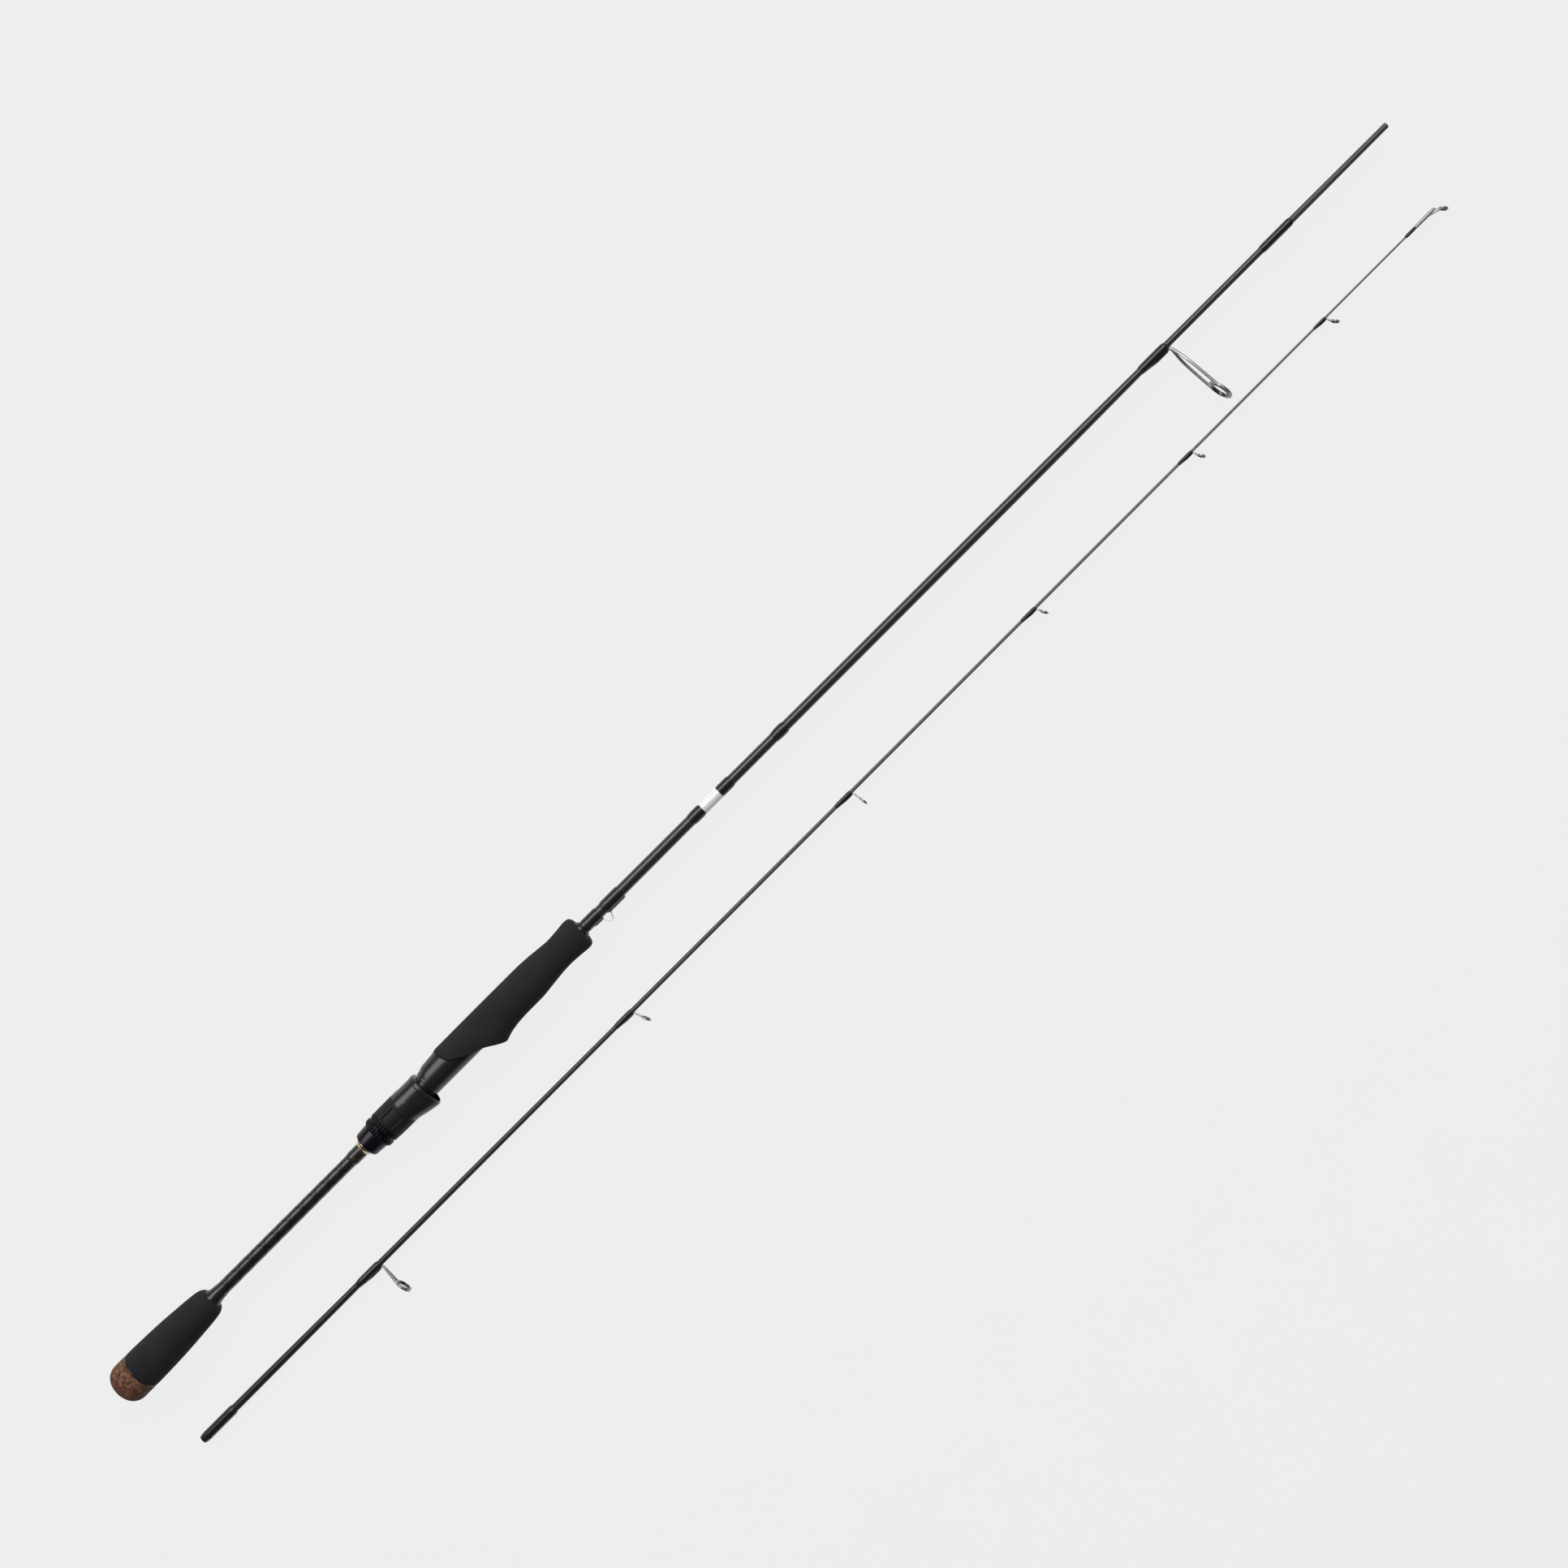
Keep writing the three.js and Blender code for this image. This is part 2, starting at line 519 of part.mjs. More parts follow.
add(tip, 'tip_top_wrap', winding({
  start: 1052.5, end: TOP_START - 0.1, radius: 1.15, taper: 2, blank: tipRadius, facets: TIP_FACETS,
}), thread);

// ---------------------------------------------------------------- lying side by side on a surface

const rodPieces = new THREE.Group();
const widestTipRing = Math.max(...TIP_GUIDES.map((size) => size[4]));
tip.position.set(TIP_SECTION_START, -AXIS_SPACING, widestTipRing - CAP_RADIUS);
rodPieces.add(butt, tip);

// the origin is under the middle of the whole, at the height of the surface
const box = new THREE.Box3().setFromObject(rodPieces, true);
const middle = box.getCenter(new THREE.Vector3());
rodPieces.position.set(-middle.x, -middle.y, -box.min.z);

const spinningRod = new THREE.Group();
spinningRod.add(rodPieces);
export default spinningRod;
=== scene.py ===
"""A two-piece spinning rod, taken apart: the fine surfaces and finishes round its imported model.

Stations and radii below are millimetres from the rear end of each section; meshes are in metres.
Angles run round a section's own axis, 0 away from the guides (+Y) and a quarter turn at +Z.
"""

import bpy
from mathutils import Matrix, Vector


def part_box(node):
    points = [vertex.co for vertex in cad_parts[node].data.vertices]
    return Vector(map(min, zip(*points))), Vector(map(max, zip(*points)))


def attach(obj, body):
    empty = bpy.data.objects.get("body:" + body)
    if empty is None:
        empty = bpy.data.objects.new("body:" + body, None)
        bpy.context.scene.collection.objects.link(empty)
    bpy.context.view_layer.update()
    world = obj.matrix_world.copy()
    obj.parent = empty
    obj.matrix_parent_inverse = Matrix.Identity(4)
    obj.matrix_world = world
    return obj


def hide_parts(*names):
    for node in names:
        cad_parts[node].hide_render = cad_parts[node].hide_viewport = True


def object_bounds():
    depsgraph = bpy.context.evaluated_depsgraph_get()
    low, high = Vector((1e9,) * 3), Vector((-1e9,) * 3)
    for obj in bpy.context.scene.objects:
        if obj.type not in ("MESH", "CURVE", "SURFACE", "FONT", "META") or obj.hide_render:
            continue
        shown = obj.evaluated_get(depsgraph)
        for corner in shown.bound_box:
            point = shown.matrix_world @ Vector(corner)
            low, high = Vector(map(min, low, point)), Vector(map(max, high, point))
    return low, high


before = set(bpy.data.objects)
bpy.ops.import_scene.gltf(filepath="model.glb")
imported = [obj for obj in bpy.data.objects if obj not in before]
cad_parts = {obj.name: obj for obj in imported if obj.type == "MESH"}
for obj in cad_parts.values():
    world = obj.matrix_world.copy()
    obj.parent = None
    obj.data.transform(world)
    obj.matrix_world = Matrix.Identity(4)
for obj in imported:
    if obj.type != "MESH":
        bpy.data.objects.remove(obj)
CAD_BOX = [list(corner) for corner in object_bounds()]

import math

import bpy
import numpy as np
from mathutils import Matrix, Vector

MM = 0.001
TURN = 2 * math.pi
FACETS = 96


def middle(node):
    """The middle of a node's box."""
    low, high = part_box(node)
    return (low + high) / 2


def section_start(node):
    """A section's axis at its rear end: its box's lowest X, and its middle in Y and Z."""
    return Vector((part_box(node)[0].x, middle(node).y, middle(node).z))


BUTT = section_start("butt_cap")
TIP = section_start("tip_blank")
SEAM_DEPTH = 0.08       # how far a sleeve's hidden inside sinks into what it covers


# -------------------- curves and profiles

def smooth(table, at):
    """Monotone cubic through the rows [station, value] of a table.

    The slope at a row is the harmonic mean of the slopes on its two sides, or 0 at a turning point,
    and each stretch is the Hermite cubic h00 v0 + h10 d m0 + h01 v1 + h11 d m1."""
    place, value = np.array(table, float).T
    gap = np.diff(place)
    rise = np.diff(value) / gap
    before, after = rise[:-1], rise[1:]
    level = before * after <= 0
    inner = np.where(level, 0, 2 * before * after / np.where(level, 1, before + after))
    slope = np.concatenate([rise[:1], inner, rise[-1:]])
    at = np.clip(np.asarray(at, float), place[0], place[-1])
    k = np.clip(np.searchsorted(place, at, "right") - 1, 0, len(gap) - 1)
    t = (at - place[k]) / gap[k]
    return (value[k] * (1 + 2 * t) * (1 - t) ** 2 + gap[k] * slope[k] * t * (1 - t) ** 2
            + value[k + 1] * t * t * (3 - 2 * t) + gap[k] * slope[k + 1] * t * t * (t - 1))


def straight(table, at):
    """Straight lines between the rows [station, value] of a table."""
    place, value = np.array(table, float).T
    return np.interp(at, place, value)


def eased(x):
    """Smoothstep: 0 below 0, 1 above 1, and 3 x^2 - 2 x^3 between."""
    x = np.clip(x, 0, 1)
    return x * x * (3 - 2 * x)


def rounded(points, radius, steps=6):
    """A closed outline with each corner P turned into the curve (1-t)^2 A + 2t(1-t) P + t^2 B.

    A and B lie on the two sides of P, at most radius away and at most 0.45 of the side."""
    p = np.array(points, float)
    back, ahead = np.roll(p, 1, 0) - p, np.roll(p, -1, 0) - p
    radius = np.broadcast_to(np.array(radius, float), len(p))[:, None]

    def cut(side):
        length = np.linalg.norm(side, axis=1, keepdims=True)
        return p + side / length * np.minimum(radius, 0.45 * length)

    t = np.linspace(0, 1, steps)[None, :, None]
    curve = ((1 - t) ** 2 * cut(back)[:, None] + 2 * t * (1 - t) * p[:, None]
             + t * t * cut(ahead)[:, None])
    return curve.reshape(-1, 2)


def outline(top, bottom, side, power, angle):
    """Polar radius (|cos a / reach|^n + |sin a / side|^n)^(-1/n), reach being top or bottom."""
    reach = np.where(np.cos(angle) > 0, top, bottom)
    tall, wide = np.abs(np.cos(angle) / reach), np.abs(np.sin(angle) / side)
    return (tall ** power + wide ** power) ** (-1 / power)


# -------------------- grids of points and pieces

def grid(rings, ends="poles"):
    """Quads over rings[i, j], every ring closed on itself: (i, j), (i, j+1), (i+1, j+1), (i+1, j).

    ends "poles" closes the first and the last ring to their middles; "loop" joins last to first."""
    rows, around, _ = rings.shape
    loop = ends == "loop"
    i, j = (a.ravel() for a in np.meshgrid(np.arange(rows if loop else rows - 1), np.arange(around),
                                           indexing="ij"))
    up, on = (i + 1) % rows, (j + 1) % around
    quads = np.stack([i * around + j, i * around + on, up * around + on, up * around + j], 1)
    points, fans = rings.reshape(-1, 3), np.zeros((0, 3), int)
    if not loop:
        j = np.arange(around)
        on, last, first_pole = (j + 1) % around, (rows - 1) * around, rows * around
        points = np.concatenate([points, rings[[0, -1]].mean(1)])
        fans = np.concatenate([np.stack([j * 0 + first_pole, on, j], 1),
                               np.stack([j * 0 + first_pole + 1, last + j, last + on], 1)])
    return points, quads, fans


def piece(name, parts, body, finish, nodes=(), crease=38):
    """One object from several grids in millimetres from the frame's origin, riding on a body."""
    offsets = np.cumsum([0] + [len(points) for points, _, _ in parts])
    points = np.concatenate([p for p, _, _ in parts]) * MM
    quads = np.concatenate([q + k for (_, q, _), k in zip(parts, offsets)])
    fans = np.concatenate([f + k for (_, _, f), k in zip(parts, offsets)])
    mesh = bpy.data.meshes.new(name)
    mesh.vertices.add(len(points))
    mesh.vertices.foreach_set("co", points.ravel().astype(np.float32))
    corners = np.concatenate([quads.ravel(), fans.ravel()])
    mesh.loops.add(len(corners))
    mesh.loops.foreach_set("vertex_index", corners.astype(np.int32))
    starts = np.concatenate([np.arange(len(quads)) * 4, len(quads) * 4 + np.arange(len(fans)) * 3])
    mesh.polygons.add(len(starts))
    mesh.polygons.foreach_set("loop_start", starts.astype(np.int32))
    mesh.update(calc_edges=True)
    mesh.validate()
    mesh.polygons.foreach_set("use_smooth", np.ones(len(mesh.polygons), bool))
    mesh.set_sharp_from_angle(angle=math.radians(crease))
    mesh.materials.append(finish)
    made = bpy.data.objects.new(name, mesh)
    bpy.context.scene.collection.objects.link(made)
    if nodes:
        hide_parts(*nodes)
    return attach(made, body)


def in_mm(point):
    """A point given in metres, as an array in millimetres."""
    return np.array(point) / MM


def round_axis(start, station, radius, angle):
    """Points (x0 + s, y0 + r cos a, z0 + r sin a) on a section, in millimetres of the frame."""
    station, radius, angle = np.broadcast_arrays(station, radius, angle)
    return np.stack([station, radius * np.cos(angle), radius * np.sin(angle)], -1) + in_mm(start)


def angles(facets=FACETS):
    """Angles evenly round a full turn, from 0."""
    return np.arange(facets) * TURN / facets


def turned(start, profile, facets=FACETS, ends="loop"):
    """A profile of (station, radius) turned about a section's axis."""
    station, radius = np.array(profile, float).T
    return grid(round_axis(start, station[:, None], radius[:, None], angles(facets)[None]), ends)


def shell(start, outer, inner, station, angle):
    """A closed sleeve between two polar radii: out along outer(s, a), back along inner(s, a)."""
    s, a = station[:, None], angle[None]
    there = round_axis(start, s, outer(s, a), a)
    back = round_axis(start, s, inner(s, a), a)
    return grid(np.concatenate([there, back[::-1]]), "loop")


def swept(path, across, depth, facets=16, up=(0, 0, 1)):
    """An oval bar along a path of points: c + across cos a * side + depth sin a * face.

    The side is square to the path in the plane of path and up, and the face is square to both."""
    along = np.gradient(path, axis=0)
    along /= np.linalg.norm(along, axis=1, keepdims=True)
    side = np.array(up) - along * (along @ np.array(up))[:, None]
    side /= np.linalg.norm(side, axis=1, keepdims=True)
    face = np.cross(along, side)
    a = angles(facets)[None, :, None]
    wide, deep = (np.broadcast_to(v, len(path))[:, None, None] for v in (across, depth))
    return grid(path[:, None] + wide * np.cos(a) * side[:, None] + deep * np.sin(a) * face[:, None])


def curve_through(points, count):
    """Catmull-Rom curve through points: on each stretch, half of
    2 b + (c - a) t + (2a - 5b + 4c - d) t^2 + (3b - 3c + d - a) t^3."""
    p = np.array(points, float)
    p = np.concatenate([[2 * p[0] - p[1]], p, [2 * p[-1] - p[-2]]])
    at = np.linspace(0, len(p) - 3 - 1e-9, count)
    k = at.astype(int)
    t = (at - k)[:, None]
    a, b, c, d = p[k], p[k + 1], p[k + 2], p[k + 3]
    return 0.5 * (2 * b + (c - a) * t + (2 * a - 5 * b + 4 * c - d) * t ** 2
                  + (3 * b - 3 * c + d - a) * t ** 3)


# -------------------- finishes

class Value:
    """A socket of a finish, on which Python's arithmetic adds Math nodes."""

    def __init__(self, finish, socket):
        self.finish, self.socket = finish, socket

    def math(self, operation, *others):
        values = dict(enumerate([self, *others]))
        return self.finish.node("Math", {"operation": operation}, values)

    def __add__(self, other): return self.math("ADD", other)
    __radd__ = __add__
    def __mul__(self, other): return self.math("MULTIPLY", other)
    __rmul__ = __mul__
    def __sub__(self, other): return self.math("SUBTRACT", other)
    def __rsub__(self, other): return self * -1 + other

    def sine(self): return self.math("SINE")
    def size(self): return self.math("ABSOLUTE")

    def between(self, low, high, soft):
        """1 from low to high and 0 outside, eased over soft on both sides."""
        return self.rise(low - soft, low) * (1 - self.rise(high, high + soft))

    def rise(self, start, end):
        """0 up to start and 1 from end on."""
        return self.finish.node("MapRange", {"interpolation_type": "SMOOTHSTEP", "clamp": True},
                                {"Value": self, "From Min": start, "From Max": end})


class Finish:
    """A material on Principled BSDF: constants go on the shader, and nodes come from one method."""

    def __init__(self, name, **constants):
        self.material = bpy.data.materials.new(name)
        self.material.use_nodes = True
        self.tree = self.material.node_tree
        self.shader = self.tree.nodes["Principled BSDF"]
        for socket, value in constants.items():
            self.shader.inputs[socket.replace("_", " ")].default_value = value

    def node(self, kind, settings=None, values=None, output=0):
        """One new node: its type, its settings, and a link or a constant for each socket."""
        made = self.tree.nodes.new("ShaderNode" + kind)
        for key, value in (settings or {}).items():
            if key == "stops":
                ramp = made.color_ramp
                while len(ramp.elements) < len(value):
                    ramp.elements.new(1)
                for element, (place, color) in zip(ramp.elements, value):
                    element.position, element.color = place, (*color, 1)
            else:
                setattr(made, key, value)
        for key, value in (values or {}).items():
            self.plug(made.inputs[key], value)
        return Value(self, made.outputs[output])

    def plug(self, socket, value):
        """Link a value to a socket, or set the socket to a constant."""
        if isinstance(value, Value):
            self.tree.links.new(value.socket, socket)
        else:
            socket.default_value = value

    def surface(self, **values):
        """Links or values for the shader's sockets; spaces in their names are underscores."""
        for socket, value in values.items():
            self.plug(self.shader.inputs[socket.replace("_", " ")], value)
        return self.material

    def place(self, start=(0, 0, 0)):
        """X, Y, Z of Object coordinates, in millimetres from a point given in metres."""
        moved = self.node("Mapping", {"vector_type": "POINT"}, {
            "Vector": self.node("TexCoord", output="Object"),
            "Location": [-c / MM for c in start], "Scale": [1 / MM] * 3})
        axes = self.node("SeparateXYZ", values={"Vector": moved}).socket.node.outputs
        return moved, *(Value(self, axis) for axis in axes)

    def noise(self, where, scale, detail=2.0, rough=0.5, output=0):
        """Smooth noise; output 1 is its colour."""
        return self.node("TexNoise", values={
            "Vector": where, "Scale": scale, "Detail": detail, "Roughness": rough}, output=output)

    def cells(self, where, scale, feature="F1", output=0):
        """Cells scattered through space; output 1 is a colour of each cell's own."""
        return self.node("TexVoronoi", {"feature": feature}, {"Vector": where, "Scale": scale},
                         output)

    def angle(self, y, z):
        """The angle round a section's axis."""
        return self.node("Math", {"operation": "ARCTAN2"}, {0: z, 1: y})

    def ramp(self, value, *stops):
        """A colour between stops of (place, colour)."""
        return self.node("ValToRGB", {"stops": stops}, {"Fac": value})

    def blend(self, amount, low, high):
        """A colour mixed from low to high; amount may vary."""
        low, high = ((*c, 1) if isinstance(c, tuple) else c for c in (low, high))
        return self.node("Mix", {"data_type": "RGBA"}, {0: amount, 6: low, 7: high}, 2)

    def bumps(self, height, depth):
        """A bump of that depth in millimetres."""
        return self.node("Bump", values={
            "Height": height, "Distance": depth * MM, "Strength": 1.0}, output="Normal")


# stations where a finish changes along a section
HANDLE_X = (88.0, 200.5)        # the bare blank between the rear grip and the seat
FERRULE_X = (1018.0, 1102.0)    # the ground male ferrule
NO_STRETCH = (-20.0, -10.0)     # behind the rear end, so that nothing shows it
PALING_X = (60, 1000)           # a blank's colour pales, as painted highlight, from the one to the other
HOOD_GLOSS_X = (245.6, 246.6)   # the sliding hood turns from satin to gloss

# repeats along a blank
LATTICE_PITCH, SPIRAL_PITCH, THREAD_PITCH = 11.0, 2.6, 0.26


def foam_grip():
    """Closed-cell grip foam: near-black, matt, with pores of a few tenths of a millimetre."""
    f = Finish("grip_foam", Specular_IOR_Level=0.25)
    where, *_ = f.place()
    pores = f.cells(where, 3.2, "SMOOTH_F1")
    grain = f.noise(where, 1.9, 5, 0.7)
    cloud = f.noise(where, 0.07, 3)
    color = f.ramp(pores * 0.35 + grain * 0.4 + cloud * 0.35,
                   (0.25, (0.011, 0.0105, 0.012)), (0.55, (0.019, 0.018, 0.021)),
                   (0.85, (0.034, 0.032, 0.036)))
    return f.surface(Base_Color=color, Roughness=0.78 + grain * 0.2,
                     Normal=f.bumps(pores * 0.6 + grain * 0.6, 0.16))


def rubber_cork():
    """Rubberised cork: brown crumbs of one to three millimetres, with dark rubber between them."""
    f = Finish("cap_rubber_cork", Specular_IOR_Level=0.2)
    where, *_ = f.place()
    bent = f.node("VectorMath", {"operation": "ADD"}, {
        0: where, 1: f.noise(where, 0.45, 3, output=1)})
    crumbs = f.cells(bent, 0.62, output=1)
    tone = f.node("SeparateColor", values={"Color": crumbs})
    seams = f.cells(bent, 0.62, "DISTANCE_TO_EDGE").rise(0.02, 0.13)
    color = f.ramp(tone, (0.0, (0.065, 0.03, 0.018)), (0.35, (0.14, 0.062, 0.033)),
                   (0.62, (0.2, 0.092, 0.048)), (0.85, (0.29, 0.16, 0.09)),
                   (1.0, (0.19, 0.058, 0.038)))
    fine = f.noise(where, 2.6, 4, 0.65)
    color = f.blend(f.noise(where, 0.22, 2).rise(0.42, 0.7) * 0.5, color, (0.16, 0.06, 0.045))
    color = f.blend((1 - seams) * 0.5, color, (0.035, 0.018, 0.012))
    return f.surface(Base_Color=color, Roughness=0.62 + fine * 0.3,
                     Normal=f.bumps(seams * 0.5 + fine * 0.8, 0.12))


def carbon_blank(name, start, handle, ferrule, lacquer, painted_highlight_grey):
    """Clear-coated carbon tube, whose colour pales towards its front end as painted highlight.

    Over the handle stretch, crossed tape shows as a lattice of long diamonds, the lesser of
    |sin(a + k s)| and |sin(a - k s)|. Over the ferrule it is ground bare, brown-grey and matt."""
    f = Finish(name, Coat_Roughness=0.2, Coat_IOR=1.5, Specular_IOR_Level=0.35)
    where, x, y, z = f.place(start)
    angle = f.angle(y, z)
    step = math.pi / LATTICE_PITCH
    left = (angle + x * step).sine().size()
    right = (angle - x * step).sine().size()
    tape = left.math("MINIMUM", right).rise(0.1, 0.42)
    on_handle = x.between(*handle, 1.5)
    bare = x.between(*ferrule, 0.6)
    grain = f.noise(where, 0.9, 4, 0.6)
    spiral = (x * (TURN / SPIRAL_PITCH) + angle).sine() * 0.5 + 0.5
    plain = f.blend(grain, (0.014, 0.013, 0.0165), (0.024, 0.022, 0.027))
    # painted highlight: the colour pales to the last argument's lighter grey over PALING_X
    plain = f.blend(x.rise(*PALING_X), plain, painted_highlight_grey)
    crossed = f.blend(tape, (0.006, 0.006, 0.0065), (0.012, 0.0115, 0.0125))
    color = f.blend(on_handle, plain, crossed)
    ground = f.blend(f.noise(where, 2.2, 3), (0.07, 0.062, 0.06), (0.1, 0.09, 0.087))
    color = f.blend(bare, color, ground)
    height = on_handle * tape * 0.8 + (1 - on_handle) * spiral * 0.12 + grain * 0.05
    gloss = lacquer + on_handle * 0.1 - on_handle * (1 - tape) * 0.55
    return f.surface(Base_Color=color, Metallic=0.2 + bare * 0.2, Roughness=0.42,
                     Coat_Weight=gloss * (1 - bare * 0.9), Normal=f.bumps(height, 0.05))


def thread_resin(name, thread, trim, start):
    """Fine thread laid turn by turn under a thick clear coat of resin, with patches that lean
    towards the trim colour."""
    f = Finish(name, Coat_Weight=0.85, Coat_Roughness=0.16, Coat_IOR=1.5, Specular_IOR_Level=0.3)
    where, x, y, z = f.place(start)
    turn = (x * (TURN / THREAD_PITCH) + f.angle(y, z)).sine() * 0.5 + 0.5
    tint = f.noise(where, 1.3, 3)
    color = f.blend(turn * 0.6 + tint * 0.3, tuple(0.45 * c for c in thread), thread)
    color = f.blend(f.noise(where, 0.33, 1).rise(0.5, 0.72) * 0.35, color, trim)
    return f.surface(Base_Color=color, Roughness=0.42 + tint * 0.2, Normal=f.bumps(turn, 0.035))


def gold_check():
    """Polished gilt metal with faint turning lines."""
    f = Finish("check_gold", Metallic=1.0, Coat_Weight=0.4, Coat_Roughness=0.08)
    where, x, *_ = f.place()
    lines = f.noise(f.node("CombineXYZ", values={"X": x * 9, "Y": 0, "Z": 0}), 1.0, 3)
    stain = f.noise(where, 0.6, 3)
    return f.surface(Base_Color=f.blend(stain, (0.42, 0.31, 0.19), (0.62, 0.49, 0.33)),
                     Roughness=0.16 + lines * 0.16, Normal=f.bumps(lines, 0.02))


def seat_plastic(name, satin):
    """Moulded reel-seat plastic under lacquer, violet-black, with a very slight orange peel.

    Satin is how far the lacquer is left off behind the hood's glossy front."""
    f = Finish(name, Coat_Roughness=0.2, Coat_IOR=1.5, Specular_IOR_Level=0.25)
    where, x, *_ = f.place(BUTT)
    peel = f.noise(where, 0.5, 2)
    flake = f.noise(where, 6, 2)
    matt = (1 - x.rise(*HOOD_GLOSS_X)) * satin
    color = f.blend(peel * 0.5 + flake * 0.5, (0.0075, 0.007, 0.009), (0.015, 0.0135, 0.018))
    return f.surface(Base_Color=color, Roughness=0.36 + flake * 0.08 + matt * 0.25,
                     Coat_Weight=0.65 - matt * 0.6, Normal=f.bumps(peel, 0.03))


def anodised(name, dark, light, rough):
    """Turned and anodised metal: a violet gunmetal with fine rings from the tool."""
    f = Finish(name, Metallic=0.9, Coat_Weight=0.08, Coat_Roughness=0.15)
    where, x, *_ = f.place()
    rings = f.noise(f.node("CombineXYZ", values={"X": x * 11, "Y": 0, "Z": 0}), 1.0, 3)
    cloud = f.noise(where, 0.35, 3)
    return f.surface(Base_Color=f.blend(cloud, dark, light), Roughness=rough + rings * 0.14,
                     Normal=f.bumps(rings, 0.02))


def pearl_silver():
    """Silver foil in pearly resin."""
    f = Finish("band_silver", Coat_Weight=1.0, Coat_Roughness=0.03)
    where, *_ = f.place()
    flakes = f.cells(where, 5, output=1)
    tone = f.node("SeparateColor", values={"Color": flakes})
    return f.surface(Base_Color=f.blend(tone, (0.93, 0.93, 0.93), (0.98, 0.98, 0.98)),
                     Metallic=tone * 0.1, Roughness=0.3 + tone * 0.12,
                     Normal=f.bumps(tone, 0.01))


def steel(name, dark, light, rough):
    """Polished stainless wire and strip, with hairline scratches and a slight smoke to it."""
    f = Finish(name, Metallic=1.0)
    where, *_ = f.place()
    drawn = f.node("VectorMath", {"operation": "MULTIPLY"}, {0: where, 1: (0.6, 7, 7)})
    scratch = f.noise(drawn, 1.3, 4)
    smoke = f.noise(where, 0.4, 3)
    return f.surface(Base_Color=f.blend(smoke, dark, light),
                     Roughness=rough + scratch * 0.2, Normal=f.bumps(scratch, 0.008))


def ring_ceramic():
    """Polished dark ceramic, faintly clouded."""
    f = Finish("guide_ring", Coat_Weight=0.6, Coat_Roughness=0.03, Specular_IOR_Level=0.7)
    where, *_ = f.place()
    cloud = f.noise(where, 1.1, 3)
    return f.surface(Base_Color=f.blend(cloud, (0.018, 0.018, 0.021), (0.045, 0.045, 0.05)),
                     Roughness=0.1 + cloud * 0.08)


def pale_floor():
    """Pale paint that glows evenly, as a lit sheet does, so that only faint shadows fall on it."""
    f = Finish("floor", Base_Color=(0.03, 0.03, 0.03, 1), Roughness=0.9, Specular_IOR_Level=0.0,
               Emission_Strength=1.0)
    grain = f.noise(f.place()[0], 0.02, 2)
    return f.surface(Emission_Color=f.blend(grain, (0.829, 0.829, 0.829), (0.835, 0.835, 0.835)))


FOAM = foam_grip()
CORK = rubber_cork()
# the last colour of each blank is the lighter grey it pales to, as painted highlight
BUTT_CARBON = carbon_blank("carbon_blank", BUTT, HANDLE_X, FERRULE_X, 0.85, (0.03, 0.028, 0.033))
TIP_CARBON = carbon_blank("carbon_blank_tip", TIP, NO_STRETCH, NO_STRETCH, 0.35,
                          (0.16, 0.158, 0.162))
BLACK, BLACK_TRIM = (0.0075, 0.007, 0.0085), (0.012, 0.01, 0.011)
THREAD = thread_resin("thread_resin", BLACK, BLACK_TRIM, BUTT)
TIP_THREAD = thread_resin("thread_resin_tip", BLACK, BLACK_TRIM, TIP)
BROWN_THREAD = thread_resin("thread_resin_brown", (0.016, 0.0115, 0.009),
                            (0.07, 0.045, 0.022), BUTT)
GOLD = gold_check()
SEAT = seat_plastic("seat_plastic", 0.0)
HOOD = seat_plastic("seat_plastic_hood", 1.0)
NUT = anodised("nut_metal", (0.005, 0.0045, 0.006), (0.009, 0.008, 0.011), 0.4)
SKIRT = anodised("nut_metal_skirt", (0.024, 0.019, 0.028), (0.038, 0.03, 0.044), 0.22)
SILVER = pearl_silver()
STEEL = steel("guide_frame", (0.34, 0.34, 0.35), (0.5, 0.5, 0.51), 0.36)
BRIGHT_WIRE = steel("keeper_wire", (0.88, 0.88, 0.88), (0.95, 0.95, 0.95), 0.3)
CERAMIC = ring_ceramic()


# -------------------- blanks, caps and grips

BUTT_TAPER = [[4, 4.38], [87, 4.35], [200, 4.2], [400, 3.8], [497, 3.6], [531, 3.38],
              [584, 3.27], [720, 3.1], [820, 2.85], [870, 2.5], [920, 2.2], [1018, 2.16],
              [1040, 2.1], [1100, 1.9]]
TIP_TAPER = [[0, 2.62], [57, 2.45], [107, 2.2], [157, 1.95], [257, 1.72], [457, 1.42],
             [607, 1.15], [857, 0.92], [1074, 0.58]]
BUTT_BLANK_X, TIP_BLANK_X = (4, 1101), (0, 1074)

HANDLE_BORE = 4.3               # the bore of the cap and the rear grip round the blank
CAP_LENGTH, CAP_RADIUS, CAP_CORNER = 17.0, 13.2, 8
SEAM_WIDTH = 0.7                # the dark line between the cap and the rear grip
GRIP_START = CAP_LENGTH + 0.65  # just under the front edge of that line
REAR_GRIP = [[GRIP_START, 12.9], [18.2, 13.12], [21, 13.19], [29.5, 13.0], [39.5, 12.68],
             [49.5, 12.15], [59.5, 11.4], [69.5, 10.55], [74.5, 9.9], [77, 9.2], [78.6, 8.2],
             [79.6, 7.0], [80, 6.0]]


def on_butt(station):
    """The butt section's radius over the bare blank."""
    return smooth(BUTT_TAPER, station)


def on_tip(station):
    """The tip section's radius over the bare blank."""
    return smooth(TIP_TAPER, station)


